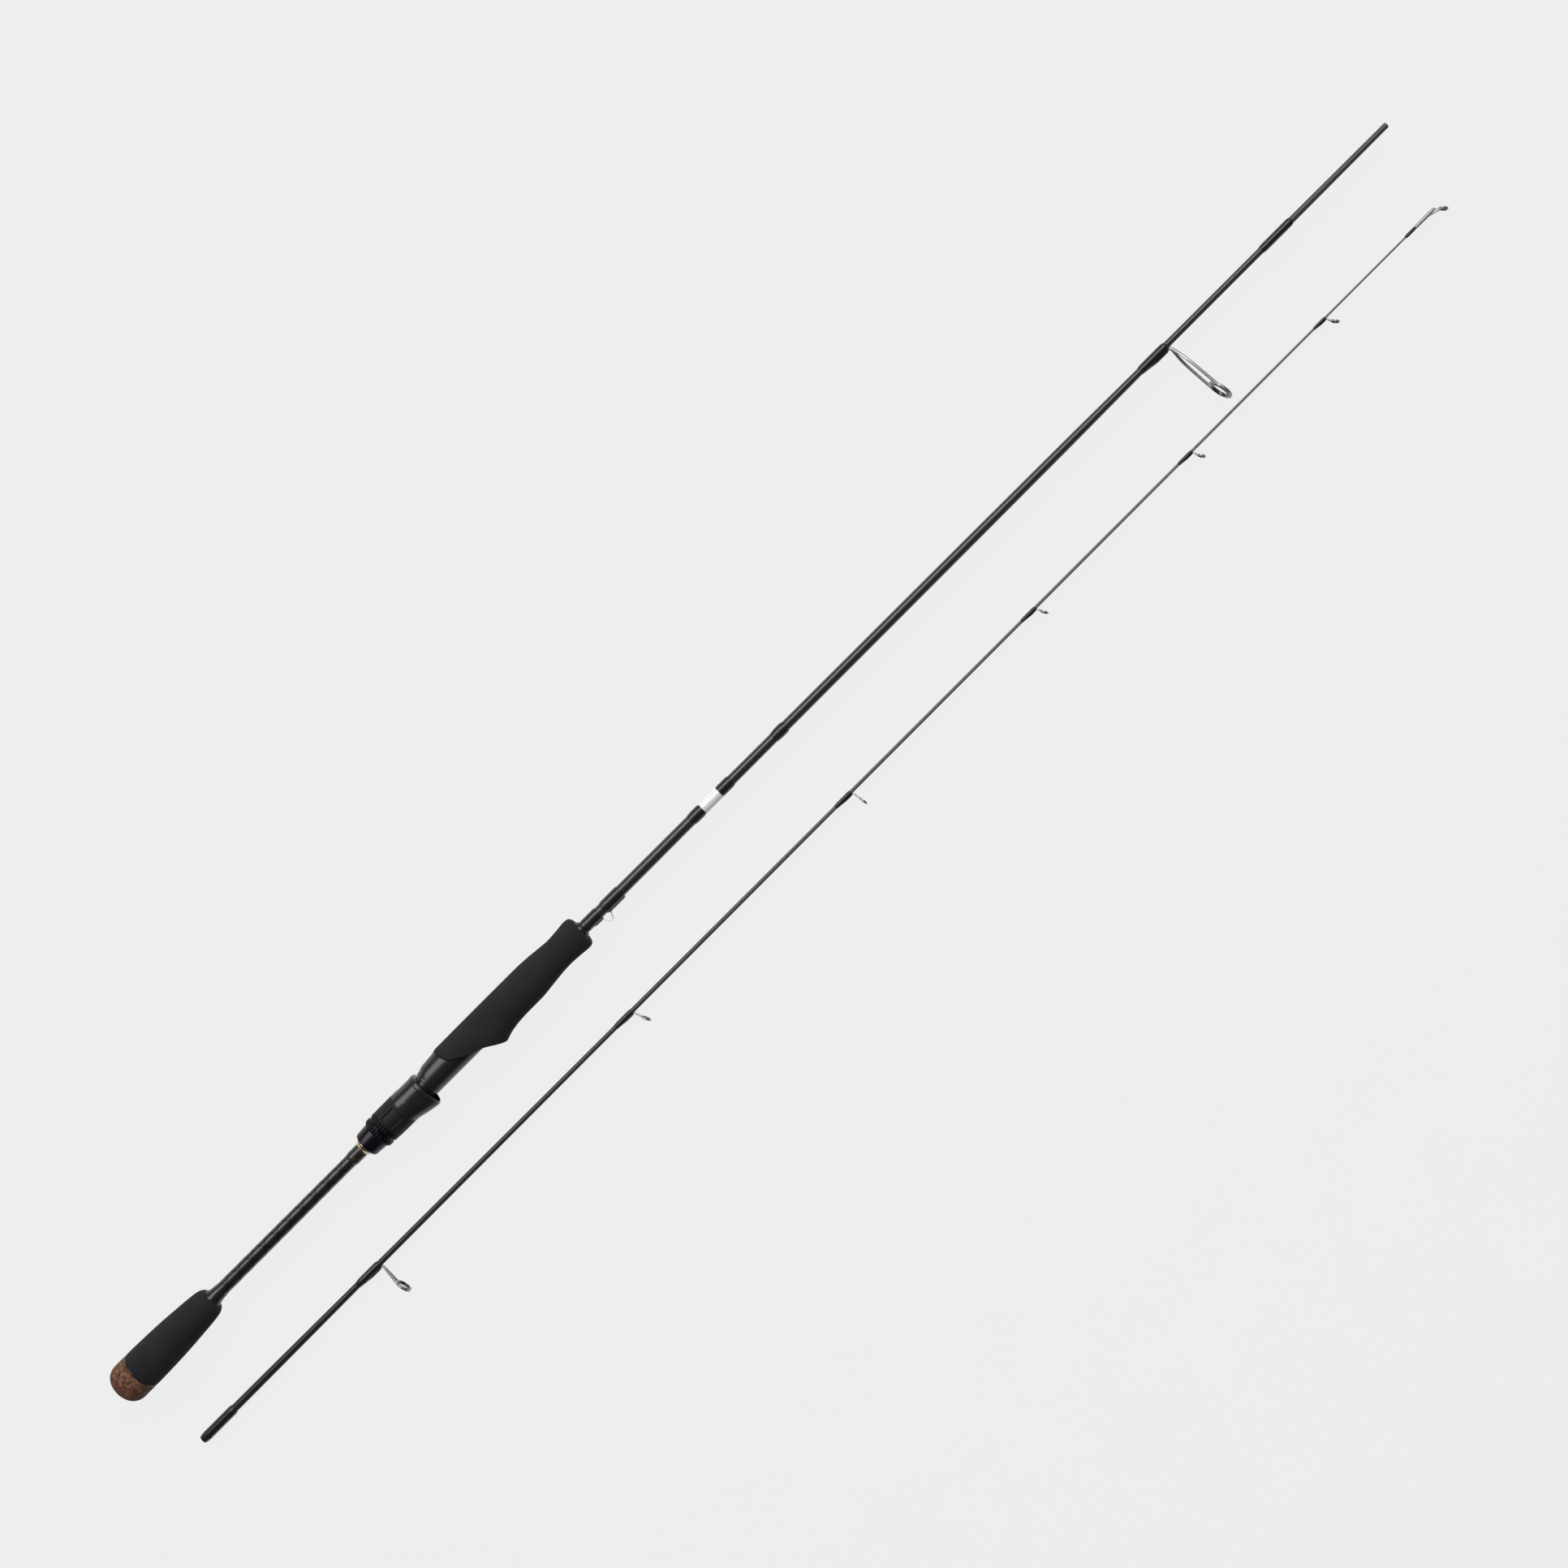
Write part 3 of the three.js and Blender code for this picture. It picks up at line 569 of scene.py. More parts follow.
def tube(start, taper, first, last, bore, spacing, facets):
    """A blank: the taper outside, bore(s) inside, and its outer edge broken at both ends."""
    station = np.linspace(first, last, int((last - first) / spacing))
    outside = np.stack([station, smooth(taper, station)], 1)
    inside = np.stack([station, bore(station)], 1)[::-1]
    edge = 0.12
    outside[[0, -1], 1] -= edge
    near = [[first + edge, outside[1, 1]], [last - edge, outside[-2, 1]]]
    profile = np.concatenate([outside[:1], near[:1], outside[1:-1], near[1:], outside[-1:], inside])
    return turned(start, profile, facets)


def butt_blank():
    """The butt section's tube, from inside the cap to the end of the male ferrule."""
    wall, widest_bore = [[4, 1.2], [500, 1.1], [900, 0.8], [1101, 0.65]], 3.1
    bore = lambda s: np.minimum(smooth(BUTT_TAPER, s) - straight(wall, s), widest_bore)
    return piece("butt_blank_tube", [tube(BUTT, BUTT_TAPER, *BUTT_BLANK_X, bore, 4, 64)],
                 "butt_section", BUTT_CARBON, ["butt_blank"])


def tip_blank():
    """The tip section's tube, with the socket for the male ferrule in its rear end."""
    bore = lambda s: straight([[0, 2.16], [70, 1.95], [90, 1.8], [500, 0.7], [700, 0.35]], s)
    return piece("tip_blank_tube", [tube(TIP, TIP_TAPER, *TIP_BLANK_X, bore, 4, 48)],
                 "tip_section", TIP_CARBON, ["tip_blank"])


def butt_cap():
    """A flat end, a quarter of a circle out to the full radius, and a flat front face."""
    turn = np.radians(np.linspace(0, 90, 25))
    corner = np.stack([CAP_CORNER * (1 - np.cos(turn)),
                       CAP_RADIUS - CAP_CORNER * (1 - np.sin(turn))], 1)
    flat = np.stack([np.full(6, 0.0), np.linspace(0.4, 4.8, 6)], 1)
    wall = [[9.5, CAP_RADIUS], [12, CAP_RADIUS], [CAP_LENGTH - 1.4, 13.19],
            [CAP_LENGTH - 0.2, 13.15], [CAP_LENGTH, 12.95], [CAP_LENGTH, 9],
            [CAP_LENGTH, HANDLE_BORE]]
    profile = np.concatenate([flat, corner, wall])
    return piece("butt_cap_cork", [turned(BUTT, profile, 128, "poles")],
                 "butt_section", CORK, ["butt_cap"])


def ring(name, nodes, outer, finish, corner=0.15):
    """A turned sleeve on the butt blank: its outer profile with eased corners, the blank inside."""
    ends = np.array([outer[-1][0], outer[0][0]])
    inside = np.stack([ends, on_butt(ends) - SEAM_DEPTH], 1)
    profile = rounded(np.concatenate([outer, inside]), corner)
    return piece(name, [turned(BUTT, profile)], "butt_section", finish, nodes)


def small_rings():
    ring("butt_cap_seam_line", ["butt_cap_seam"],
         [[CAP_LENGTH, 13.0], [CAP_LENGTH + SEAM_WIDTH, 13.0]], THREAD)
    ring("rear_grip_check_ring", ["rear_grip_check"],
         [[79.6, 6.15], [80.6, 5.95], [81.6, 5.35], [83.5, 4.95], [85.6, 4.75], [87.5, 4.6]],
         THREAD, corner=0.5)
    ring("seat_check_gold", ["seat_check_ring"],
         [[209.95, 4.75], [210.3, 5.0], [211, 5.5], [211.9, 6.15], [212.6, 6.45], [213.4, 6.45]],
         GOLD, corner=0.25)
    ring("fore_grip_check_ring", ["fore_grip_check"],
         [[400.2, 5.8], [401.2, 5.7], [402.0, 5.3], [402.6, 4.9]], THREAD,
         corner=0.3)
    ring("silver_band_foil", ["silver_band"], [[505.95, 3.96], [513, 3.93], [520.45, 3.87]],
         SILVER, corner=0.1)


def rear_grip():
    """Foam that tapers forward from the cap and rounds over at its front end."""
    front = REAR_GRIP[-1][0]
    station = np.concatenate([np.linspace(GRIP_START, 70, 90), np.linspace(70.4, front, 60)])
    profile = np.stack([station, smooth(REAR_GRIP, station)], 1)
    inside = [[front, HANDLE_BORE], [GRIP_START, HANDLE_BORE]]
    return piece("rear_grip_foam", [turned(BUTT, np.concatenate([profile, inside]), 128)],
                 "butt_section", FOAM, ["rear_grip"])


# -------------------- windings

def winding(part, start, body, blank, finish, taper, bump=0.0, foot=None, power=0.55):
    """Thread and resin over a blank, as long and as thick as the box of the part's wrap.

    Radius b + (r - b) q^p + bump w(a) g(s), where q rises as sin from each end over the taper, w
    is a narrow bell round the underside and g follows the foot that lies under the thread. The
    foot is (where it starts, how far it takes to rise, half its width)."""
    node = f"{part}_wrap"
    low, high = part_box(node)
    first, last = (low.x - start.x) / MM, (high.x - start.x) / MM
    full = (high.z - low.z) / 2 / MM
    spread = 0.5 * taper

    def outer(s, a):
        q = np.minimum((s - first + spread) / (taper + spread), (last + 0.15 - s) / (taper * 0.8))
        rise = np.sin(np.clip(q, 0, 1) * math.pi / 2) ** power
        b = blank(s)
        swell = 0
        if foot:
            off = np.abs((a % TURN) - math.pi)
            bell = np.exp(-(off * full / foot[2]) ** 2)
            swell = bump * bell * eased((s - foot[0]) / foot[1]) * rise
        return b - 0.02 + (full - b) * rise + swell + 0 * a

    def inner(s, a):
        return blank(s) - SEAM_DEPTH + 0 * a

    station = np.unique(np.concatenate([
        first - spread + (taper + spread) * np.linspace(0, 1, 22) ** 1.6,
        np.linspace(first + taper, last - taper, 24),
        last + 0.15 - taper * np.linspace(0, 1, 22) ** 1.8]))
    return piece(f"{part}_thread", [shell(start, outer, inner, station, angles(72))], body,
                 finish, [node], crease=60)


def butt_windings():
    """The butt section's windings, apart from the first guide's."""
    on = dict(start=BUTT, body="butt_section", blank=on_butt)
    winding("seat_rear", finish=BROWN_THREAD, taper=1.6, **on)
    winding("keeper_rear", finish=THREAD, taper=1.9, bump=0.7, foot=(407, 3, 0.9), **on)
    winding("keeper_front", finish=THREAD, taper=1.9, bump=0.7, foot=(418, 2, 0.9), **on)
    winding("band_rear", finish=THREAD, taper=3, power=0.75, **on)
    winding("band_front", finish=THREAD, taper=3, power=0.75, **on)
    winding("blank_ring", finish=THREAD, taper=4, power=0.8, **on)
    winding("male_ferrule", finish=THREAD, taper=2.6, **on)


def tip_windings():
    """The tip section's windings, apart from its guides'."""
    on = dict(start=TIP, body="tip_section", blank=on_tip, finish=TIP_THREAD)
    winding("female_ferrule", taper=3.2, **on)
    winding("tip_top", taper=1.6, **on)


# -------------------- line guides

def leaning(centre, lean, points):
    """Ring coordinates (along its axis p, towards the blank q, across w) turned by the lean about Z
    and set at the ring's centre: (c + p cos L - q sin L, d + p sin L + q cos L, e + w)."""
    p, q, w = np.moveaxis(np.asarray(points, float), -1, 0)
    c, s = math.cos(lean), math.sin(lean)
    return np.stack([p * c - q * s, p * s + q * c, w], -1) + in_mm(centre)


def ring_grid(centre, lean, profile, facets=72):
    """A closed profile of (p, r) turned about the ring's own axis."""
    p, r = np.array(profile, float).T[:, :, None]
    a = angles(facets)[None]
    points = np.stack(np.broadcast_arrays(p, r * np.cos(a), r * np.sin(a)), -1)
    return grid(leaning(centre, lean, points), "loop")


def oval(middle_radius, half_width, half_depth, steps=20):
    """A profile (half_width cos t, r - half_depth sin t), run round the way a sleeve's is."""
    t = -angles(steps)
    return np.stack([half_width * np.cos(t), middle_radius - half_depth * np.sin(t)], 1)[::-1]


# lean in degrees, band's length along the line, leg's half-width, foot's half-width, taper
GUIDES = {
    1: (11, 1.7, 0.95, 1.25, 3.4), 2: (13, 1.5, 0.68, 0.85, 3.2), 3: (23, 1.1, 0.46, 0.6, 2.4),
    4: (8, 1.1, 0.46, 0.6, 2.4), 5: (27, 1.0, 0.42, 0.55, 2.2), 6: (30, 1.0, 0.42, 0.55, 2.2),
    7: (35, 1.0, 0.42, 0.55, 2.0),
}
# angles where an arm lies on the ring, and how far along, out and across its knee is; the short
# guides first, then the tall one
GUIDE_ARMS = ((0.42, 0.75, 1.15), (0.98, 1.3, 1.6))
ARM_KNEES = ((0.5, 0.5, 0.42), (0.36, 0.36, 0.8))


def guide(number, start, body, blank, finish):
    """A single-foot guide: a strip foot under the winding, two legs, a band and a ceramic ring."""
    lean_degrees, length, leg, foot_half, taper = GUIDES[number]
    name, lean = f"guide_{number}", math.radians(lean_degrees)
    centre = middle(f"{name}_ring")
    radius = (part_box(f"{name}_frame")[1].z - centre.z) / MM
    wrap_low, wrap_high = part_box(f"{name}_wrap")
    first, last = (wrap_low.x - start.x) / MM, (wrap_high.x - start.x) / MM
    band, hole, half = 0.12 * radius, 0.7 * radius, length / 2

    rim = rounded([[-half, radius], [half, radius], [half, radius - band], [-half, radius - band]],
                  0.4 * band)
    parts = [ring_grid(centre, lean, rim)]

    base = in_mm(start)
    seat = float(blank(last))
    foot_path = base + curve_through([
        [first + 1.5, -seat + 0.1, 0], [(first + last) / 2, -seat - 0.35 * leg, 0],
        [last - 0.5, -seat - 0.75 * leg, 0], [last + 0.9 * leg, -seat - 1.1 * leg, 0]], 24)
    thin = np.linspace(0.25, 0.75, 24) * leg
    parts.append(swept(foot_path, np.linspace(0.5, 1, 24) * foot_half, thin))

    on = radius - 0.2 * band
    for side in (-1, 1):
        ring_points = leaning(centre, lean, [[0, on * math.cos(a), side * on * math.sin(a)]
                                             for a in GUIDE_ARMS[number == 1]])
        head = base + np.array([
            [last - 0.4, -seat - 0.8 * leg, side * foot_half * 0.35],
            [last + 1.2 * leg, -seat - 1.6 * leg, side * foot_half * 0.5]])
        knee = head[1] + (ring_points[0] - head[1]) * np.array(ARM_KNEES[number == 1])
        path = curve_through([*head, knee, *ring_points], 40)
        t = np.linspace(0, 1, 40)
        parts.append(swept(path, leg * (0.85 + 0.25 * np.sin(t * math.pi)) * (1 - 0.45 * t ** 4),
                           leg * (0.75 - 0.25 * t), up=(1, 0, 0)))
    piece(f"{name}_frame_steel", parts, body, STEEL, [f"{name}_frame"], crease=50)

    inside = (radius - 0.9 * band - hole) / 2
    insert = oval(hole + inside, half + 0.055 * radius, inside)
    piece(f"{name}_ring_ceramic", [ring_grid(centre, lean, insert)], body, CERAMIC,
          [f"{name}_ring"], crease=60)
    winding(name, start, body, blank, finish, taper, bump=1.15 * leg,
            foot=(first + 0.5, (last - first) * 0.55, foot_half * 1.15))


def tip_top():
    """A tube over the tip of the blank, a stem and two legs, and a small ring ahead and below."""
    lean, centre = math.radians(38), middle("tip_top_ring")
    radius = 2.9
    tube_low = (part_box("tip_top_frame")[0].x - TIP.x) / MM
    profile = rounded([[tube_low, 1.0], [tube_low + 0.25, 1.16], [1074.5, 1.25], [1076.5, 1.1],
                       [1077.6, 0.55], [1077.6, 0.05], [tube_low, 0.05]], 0.3)
    parts = [turned(TIP, profile, 48)]
    base, half, band = in_mm(TIP), 0.55, 0.4
    rim = rounded([[-half, radius], [half, radius], [half, radius - band], [-half, radius - band]],
                  0.16)
    parts.append(ring_grid(centre, lean, rim, 64))
    for side in (-1, 1):
        points = leaning(centre, lean, [[0, radius * math.cos(a), side * radius * math.sin(a)]
                                        for a in (1.3, 1.65)])
        head = base + np.array([[1071.5, -0.9, side * 0.45], [1074, -1.5, side * 0.85],
                                [1076.4, -2.1, side * 1.4]])
        parts.append(swept(curve_through([*head, *points], 30), 0.38, 0.34, up=(0, 0, 1)))
    stem = base + np.array([[1073.5, -0.4, 0], [1076.5, -0.55, 0], [1077.8, -0.9, 0],
                            [1078.8, -1.3, 0]])
    parts.append(swept(curve_through(stem, 16), 0.42, 0.36))
    piece("tip_top_frame_steel", parts, "tip_section", STEEL, ["tip_top_frame"],
          crease=50)
    piece("tip_top_ring_ceramic", [ring_grid(centre, lean, oval(2.1, 0.8, 0.38), 64)],
          "tip_section", CERAMIC, ["tip_top_ring"], crease=60)


def hook_keeper():
    """A loop of wire whose two ends run under the windings behind and ahead of it."""
    wire, seat = 0.42, float(on_butt(405)) + 0.55
    points = [[408, -seat, 0], [411, -seat, 0], [413.8, -seat - 0.1, 0], [415.4, -seat - 1.0, 0],
              [416.4, -7.6, 0], [417.2, -8.5, 0], [418.3, -8.8, 0], [419.4, -8.5, 0],
              [420.2, -7.6, 0], [421.2, -seat - 1.0, 0], [422.8, -seat - 0.1, 0],
              [425.5, -seat, 0], [428.5, -seat, 0]]
    path = in_mm(BUTT) + curve_through(points, 90)
    piece("hook_keeper_wire", [swept(path, wire, wire, 18)], "butt_section",
          BRIGHT_WIRE, ["hook_keeper"])


# -------------------- reel seat

SEAT_TOP = [[266.4, 8.85], [267.2, 9.05], [268.4, 9.2], [271.5, 10.25], [279, 10.98], [284, 11.4],
            [292, 10.4], [300, 9.4], [336, 9.2]]
SEAT_SIDE = [[266.4, 8.8], [267.2, 8.95], [268.4, 9.05], [271.5, 9.35], [279, 9.55], [284, 9.6],
             [292, 9.4], [300, 9.1], [336, 9.05]]
SEAT_BOTTOM = [[266.4, 8.85], [308, 8.85], [312, 8.0], [336, 8.0]]
BED_FLAT, BED_END = 8.6, 308.5      # the flat bed for the reel's foot: its depth, and its end
SEAT_START, SADDLE_START, SEAT_END = 213.5, 266.35, 336
BARREL, SEAT_BORE = 7.4, 5.6


def seat_radius(s, a, grow=0.0):
    """The saddle's outline, cut flat at the bed where the reel foot lies."""
    r = outline(smooth(SEAT_TOP, s) + grow, straight(SEAT_BOTTOM, s) + grow,
                smooth(SEAT_SIDE, s) + grow, 2, a)
    down = np.maximum(-np.cos(a), 1e-6)
    flat = np.where(s < BED_END, (BED_FLAT + grow) / down, np.inf)
    return np.minimum(r, flat)


def reel_seat():
    """Barrel and saddle as one moulding. The barrel's thread is a helix: its radius follows a
    rounded triangle wave of s / pitch - a / turn. A slot along the barrel's top keys the hood."""
    pitch, depth = 2.0, 0.5
    thread_start, thread_end, slot_end, slot_floor, slot_half = 214, 233, 262, 6.3, 1.3

    def barrel(s, a):
        wave = np.abs(((s / pitch - a / TURN) % 1) - 0.5) * 2
        thread = depth * eased(wave * 1.4 - 0.2) - depth
        threaded = eased((s - thread_start) / 0.6) * (1 - eased((s - thread_end) / 0.6))
        from_top = np.abs(a % TURN - TURN * (a % TURN > math.pi)) * BARREL
        radius = BARREL + thread * threaded - depth * (s < thread_start)
        return np.where((from_top < slot_half) & (s < slot_end), slot_floor, radius)

    def outer(s, a):
        collar = eased((s - SADDLE_START) / 0.3)
        edge = 0.25 * (1 - eased((s - 266.5) / 0.5))
        saddle = BARREL + (seat_radius(s, a) - edge - BARREL) * collar
        return np.where(s < SADDLE_START, barrel(s, a), saddle)

    def inner(s, a):
        return SEAT_BORE + 0 * s + 0 * a

    station = np.unique(np.concatenate([
        np.linspace(SEAT_START, 234, 150), np.linspace(234, 266.3, 24),
        np.linspace(SADDLE_START, 268.5, 26), np.linspace(268.5, SEAT_END, 90)]))
    return piece("reel_seat_moulding", [shell(BUTT, outer, inner, station, angles(120))],
                 "butt_section", SEAT, ["reel_seat_body"], crease=32)


POCKET_START, POCKET_END = 300, 331
POCKET = [[POCKET_START, 13.4], [316.5, 13.4], [330, 12.2], [POCKET_END, 11.6]]
MOUTH = ((BED_END, 8.95), (319.4, 15.6))    # its slanted mouth: station and depth, top and bottom


def pocket_radius(s, a, grow=0.0):
    """The pocket for the front of the reel foot, as a polar radius; only its lower half is used."""
    return outline(3, straight(POCKET, s) + grow, 8.6 + grow, 2.8, a)


def front_hood():
    """A lower-half shell lining the pocket: loops out along a from 100 to 260 degrees and back
    inside, carried from the slanted mouth to the pocket's end.

    The mouth's station depends on the depth there and the depth on the station, so the two are
    settled by repeating."""
    a = np.radians(np.linspace(100, 260, 90))
    t = np.linspace(0, 1, 40)[:, None]
    (x0, d0), (x1, d1) = MOUTH

    def strip(grow):
        s = np.full_like(a, 312.0)[None] + 0 * t
        for _ in range(12):
            depth = -np.cos(a)[None] * pocket_radius(s[:1], a[None], grow)
            mouth = x0 + (depth - d0) * (x1 - x0) / (d1 - d0)
            s = np.maximum(mouth, 303) * (1 - t) + (POCKET_END + grow) * t
        radius = pocket_radius(np.minimum(s, POCKET_END), a[None], grow)
        return round_axis(BUTT, s, radius, a[None])

    outer, inner = strip(1.0), strip(0.0)
    return piece("front_hood_lining", [grid(np.concatenate([outer, inner[:, ::-1]], 1))],
                 "butt_section", SEAT, ["front_hood"])


GRIP_TOP = [[276, 11.9], [289, 12.0], [320, 12.1], [354, 12.05], [364.5, 11.6], [374.5, 10.65],
            [381, 10.15], [390, 10.7], [396, 11.25], [398.4, 11.0], [399.8, 10.2], [400.5, 9.0]]
GRIP_BOTTOM = [[276, 16.3], [318.4, 16.3], [320.5, 15.9], [324.5, 14.6], [331, 13.2], [341, 12.6],
               [354, 12.5], [364.5, 11.5], [374.5, 10.5], [381, 10.2], [390, 10.7], [396, 11.2],
               [398.4, 11.0], [399.8, 10.2], [400.5, 9.0]]
GRIP_SIDE = [[276, 10.8], [300, 11.6], [330, 11.9], [354, 11.7], [364.5, 11.2], [374.5, 10.5],
             [381, 10.2], [390, 10.7], [396, 11.2], [398.4, 11.0], [399.8, 10.2], [400.5, 9.0]]
# the grip's rear edge seen from the side: height above the axis, and the station there
REAR_EDGE = [[-20, 322.0], [-16.3, 318.6], [-9.0, 308.0], [-8.85, 307.5], [-5.2, 297],
             [1.3, 287.3], [6.5, 285], [11.9, 283.5], [14, 283.2]]
GRIP_FRONT = 400.5
EDGE_ROLL, EDGE_THICKNESS = 2.2, 0.35   # how far in the rear edge rolls over; the foam's least


def fore_grip():
    """Foam from a slanting rear edge to the front: outer radius an outline of its own to each
    side, rolled over at the rear edge as a quarter of an ellipse; inner radius the seat, the
    front hood's pocket, or the blank, whichever lies under it."""
    a = angles(160)[None]
    near = np.concatenate([np.linspace(0, 1, 16) ** 1.8 * 0.03, np.linspace(0.034, 0.95, 90),
                           np.linspace(0.955, 1, 18)])[:, None]

    def skin(s, angle):
        return outline(smooth(GRIP_TOP, s), smooth(GRIP_BOTTOM, s), smooth(GRIP_SIDE, s), 2.1,
                       angle)

    def core(s, angle):
        seat = np.where(s < SEAT_END + 0.3, seat_radius(np.minimum(s, SEAT_END), angle, 0.02), 0)
        hollow = (s > POCKET_START - 1) & (s < POCKET_END + 1.3) & (np.cos(angle) < 0)
        lining = pocket_radius(np.clip(s, POCKET_START, POCKET_END), angle, 0.95)
        pocket = np.where(hollow, lining, 0)
        return np.maximum(np.maximum(seat, pocket), on_butt(s) - SEAM_DEPTH)

    edge = np.full_like(a, 290.0)
    for _ in range(14):
        edge = 0.5 * edge + 0.5 * straight(REAR_EDGE, skin(edge, a) * np.cos(a))
    s = edge + (GRIP_FRONT - edge) * near
    inside, outside = core(s, a), skin(s, a)
    roll = np.clip((s - edge) / EDGE_ROLL, 0, 1)
    lifted = np.maximum(outside, inside + EDGE_THICKNESS)
    r = inside + 0.05 + (lifted - inside - 0.05) * np.sqrt(1 - (1 - roll) ** 2)
    shape = np.concatenate([round_axis(BUTT, s, r, a), round_axis(BUTT, s, inside - 0.02, a)[::-1]])
    return piece("fore_grip_foam", [grid(shape, "loop")], "butt_section", FOAM,
                 ["fore_grip"], crease=50)


# -------------------- sliding hood and lock nut

HOOD_START, HOOD_END = 232.05, 264.5
HOOD_TOP = [[HOOD_START, 10.55], [232.5, 10.72], [248, 10.75], [250, 10.66], [252, 10.45],
            [262, 10.42], [263.6, 10.2], [HOOD_END, 9.75]]
HOOD_BOTTOM = [[HOOD_START, 10.65], [232.5, 10.85], [246, 11.1], [249, 11.4], [252, 12.05],
               [257, 13.1], [262, 13.7], [263.6, 13.5], [HOOD_END, 13.0]]
HOOD_POCKET = [[243, 8.5], [245, 9.5], [HOOD_END, 12.6], [268, 13.1]]
HOOD_BORE = 7.75
RIM_START, RIM_GAP = 261.5, 0.04
# the window sunk in each side: its stations, its heights, and its floor's radius
WINDOW_X, WINDOW_Y, WINDOW_FLOOR = (233.3, 243.8), (-4.6, 4.9), 9.95


def hood_inside(s, a):
    """The bore, or the pocket for the rear of the reel foot where that is wider."""
    pocket = outline(4, straight(HOOD_POCKET, s), 8.6, 3, a)
    opened = (s > HOOD_POCKET[0][0]) & (np.cos(a) < 0.2)
    return np.where(opened, np.maximum(pocket, HOOD_BORE), HOOD_BORE)


def hood_outside(s, a, windows=True):
    """The hood's outline, sunk to the window's floor inside a window on each side."""
    upper = smooth(HOOD_TOP, s)
    r = outline(upper, smooth(HOOD_BOTTOM, s), upper, 2.15, a)
    up = r * np.cos(a)
    soft = 0.35
    inside = (eased((s - WINDOW_X[0]) / soft) * (1 - eased((s - WINDOW_X[1] + soft) / soft))
              * eased((up - WINDOW_Y[0]) / soft) * (1 - eased((up - WINDOW_Y[1] + soft) / soft)))
    return r - np.maximum(r - WINDOW_FLOOR, 0) * inside * windows


def sliding_hood():
    """The hood's shell with the key that slides in the barrel's slot, and its mouth ring."""
    groove = lambda s: 0.22 * np.exp(-((s - RIM_START) / 0.16) ** 2)
    station = np.concatenate([np.linspace(HOOD_START, 245, 72),
                              np.linspace(245.2, RIM_START - RIM_GAP, 70)])
    outer = lambda s, a: (hood_outside(s, a) - groove(s)
                          - 0.15 * (1 - eased((s - HOOD_START) / 0.35)))
    key_height, half_height, half_width = 7.65, 0.45, 0.9
    section = np.array([[-1, -1], [1, -1], [1, 1], [-1, 1]]) * np.array([half_height, half_width])
    key = [[s, key_height + y, z] for s in (240, 260) for y, z in section]
    bar = np.array(key).reshape(2, 4, 3) + in_mm(BUTT)
    piece("sliding_hood_shell", [shell(BUTT, outer, hood_inside, station, angles(240)), grid(bar)],
          "reel_hood", HOOD, ["sliding_hood"], crease=34)

    station = np.concatenate([np.linspace(RIM_START + RIM_GAP, 262.2, 12),
                              np.linspace(262.3, HOOD_END, 26)])
    swell = lambda s: 0.28 * eased((s - RIM_START) / 0.5) * (1 - eased((s - 263.9) / 0.6))
    outer = lambda s, a: hood_outside(s, a, False) - groove(s) + swell(s)
    piece("sliding_hood_rim_ring", [shell(BUTT, outer, hood_inside, station, angles(240))],
          "reel_hood", HOOD, ["sliding_hood_rim"], crease=34)


def lock_nut():
    """Two milled ribs with a groove between them, each cut by shallow flutes, and a plain skirt."""
    flutes, flute_depth = 28, 0.3
    rows = [[223.1, 9.4], [223.5, 10.3], [223.9, 10.5], [226.2, 10.6], [226.6, 10.4],
            [227.1, 9.95], [228.1, 9.95], [228.6, 10.5], [229, 10.7], [231.1, 10.7],
            [231.6, 10.5], [232, 10.1]]

    def outer(s, a):
        rib = (eased((s - 223.3) / 0.4) * (1 - eased((s - 226.3) / 0.5))
               + eased((s - 228.3) / 0.5) * (1 - eased((s - 231.4) / 0.4)))
        return smooth(rows, s) - flute_depth * rib * np.clip(np.cos(flutes * a), 0, 1) ** 2

    bore = lambda s, a: HOOD_BORE + 0 * s + 0 * a
    station = np.linspace(rows[0][0], rows[-1][0], 80)
    piece("lock_nut_ribs", [shell(BUTT, outer, bore, station, angles(8 * flutes))],
          "reel_nut", NUT, ["lock_nut"], crease=40)
    skirt = rounded([[213.55, 8.3], [214.4, 8.62], [222.2, 9.2], [223.05, 9.1],
                     [223.05, HOOD_BORE], [213.55, HOOD_BORE]], 0.25)
    piece("lock_nut_skirt_cone", [turned(BUTT, skirt, 128)], "reel_nut", SKIRT,
          ["lock_nut_skirt"])


# -------------------- the whole rod

butt_blank()
butt_cap()
small_rings()
rear_grip()
butt_windings()
hook_keeper()
reel_seat()
front_hood()
fore_grip()
sliding_hood()
lock_nut()
guide(1, BUTT, "butt_section", on_butt, THREAD)
tip_blank()
tip_windings()
for number in range(2, 8):
    guide(number, TIP, "tip_section", on_tip, TIP_THREAD)
tip_top()
# the arbors are hidden inside the seat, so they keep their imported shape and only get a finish
for node in ("seat_arbor_rear", "seat_arbor_front"):
    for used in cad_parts[node].material_slots:
        used.material = FOAM


# -------------------- floor, light and camera

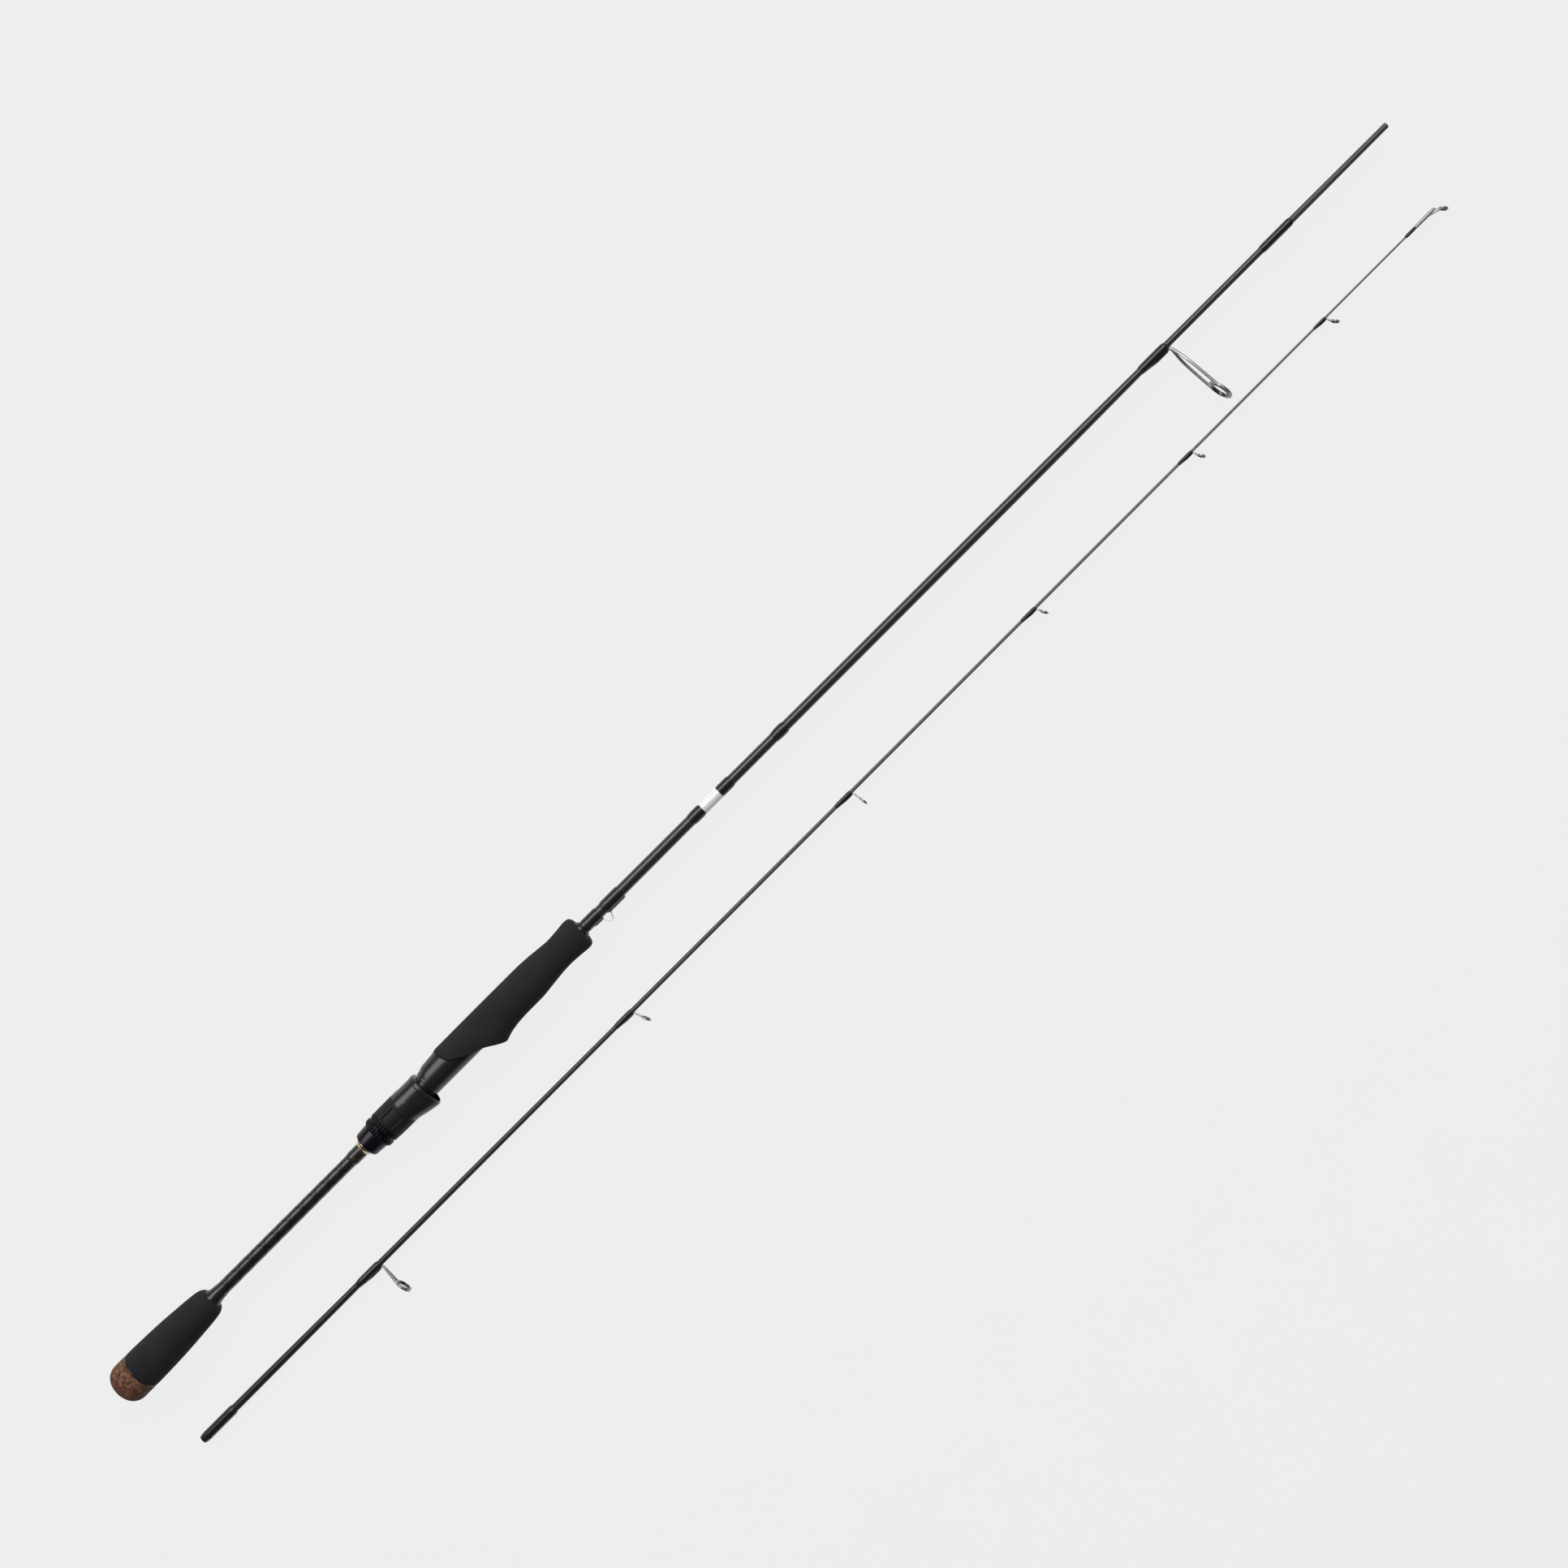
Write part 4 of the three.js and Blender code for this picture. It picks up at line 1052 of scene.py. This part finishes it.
def flat_floor():
    """A pale sheet just under the rod, so wide that low views see no edge near it."""
    mesh, reach, gap = bpy.data.meshes.new("floor"), 80, 0.0003
    mesh.from_pydata([(-reach, -reach, 0), (reach, -reach, 0), (reach, reach, 0),
                      (-reach, reach, 0)], [], [(0, 1, 2, 3)])
    mesh.materials.append(pale_floor())
    made = bpy.data.objects.new("floor", mesh)
    bpy.context.scene.collection.objects.link(made)
    made.location.z = CAD_BOX[0][2] - gap


def soft_light(name, place, width, height, power):
    """A rectangular lamp aimed at the middle of the floor."""
    lamp = bpy.data.lights.new(name, "AREA")
    lamp.shape, lamp.size, lamp.size_y, lamp.energy = "RECTANGLE", width, height, power
    made = bpy.data.objects.new(name, lamp)
    bpy.context.scene.collection.objects.link(made)
    made.location = place
    made.rotation_euler = Vector(place).to_track_quat("Z", "Y").to_euler()


def studio():
    """One big soft key to the side away from the guides, a weak fill across from it, a dim room."""
    world = bpy.data.worlds.new("studio")
    bpy.context.scene.world = world
    world.use_nodes = True
    backdrop = world.node_tree.nodes["Background"]
    backdrop.inputs["Color"].default_value = (1, 1, 1, 1)
    backdrop.inputs["Strength"].default_value = 0.05
    soft_light("key", (0.25, 1.15, 1.64), 3.5, 1.3, 54)
    soft_light("fill", (0.0, -1.2, 2.2), 2.5, 1.0, 0.6)
    bpy.context.scene.view_settings.view_transform = "Standard"


def camera():
    """Above the middle of the rod, looking straight down, with the rod on a diagonal."""
    height, aside = 1.15, (0.0017, 0.0103)
    low, high = (Vector(c) for c in CAD_BOX)
    across, back = Vector((1, -1, 0)).normalized(), Vector((0, 0, 1))
    up = back.cross(across)
    middle_of_rod = Vector((low.x + high.x, low.y + high.y, 0)) / 2
    place = middle_of_rod + Vector((*aside, height + high.z / 2))
    lens = bpy.data.cameras.new("camera")
    lens.sensor_width, lens.lens = 36, 42.9
    lens.clip_start, lens.clip_end = 0.05, 200
    made = bpy.data.objects.new("camera", lens)
    bpy.context.scene.collection.objects.link(made)
    made.matrix_world = Matrix.Translation(place) @ Matrix((across, up, back)).transposed().to_4x4()
    bpy.context.scene.camera = made


flat_floor()
studio()
camera()

bpy.context.view_layer.update()
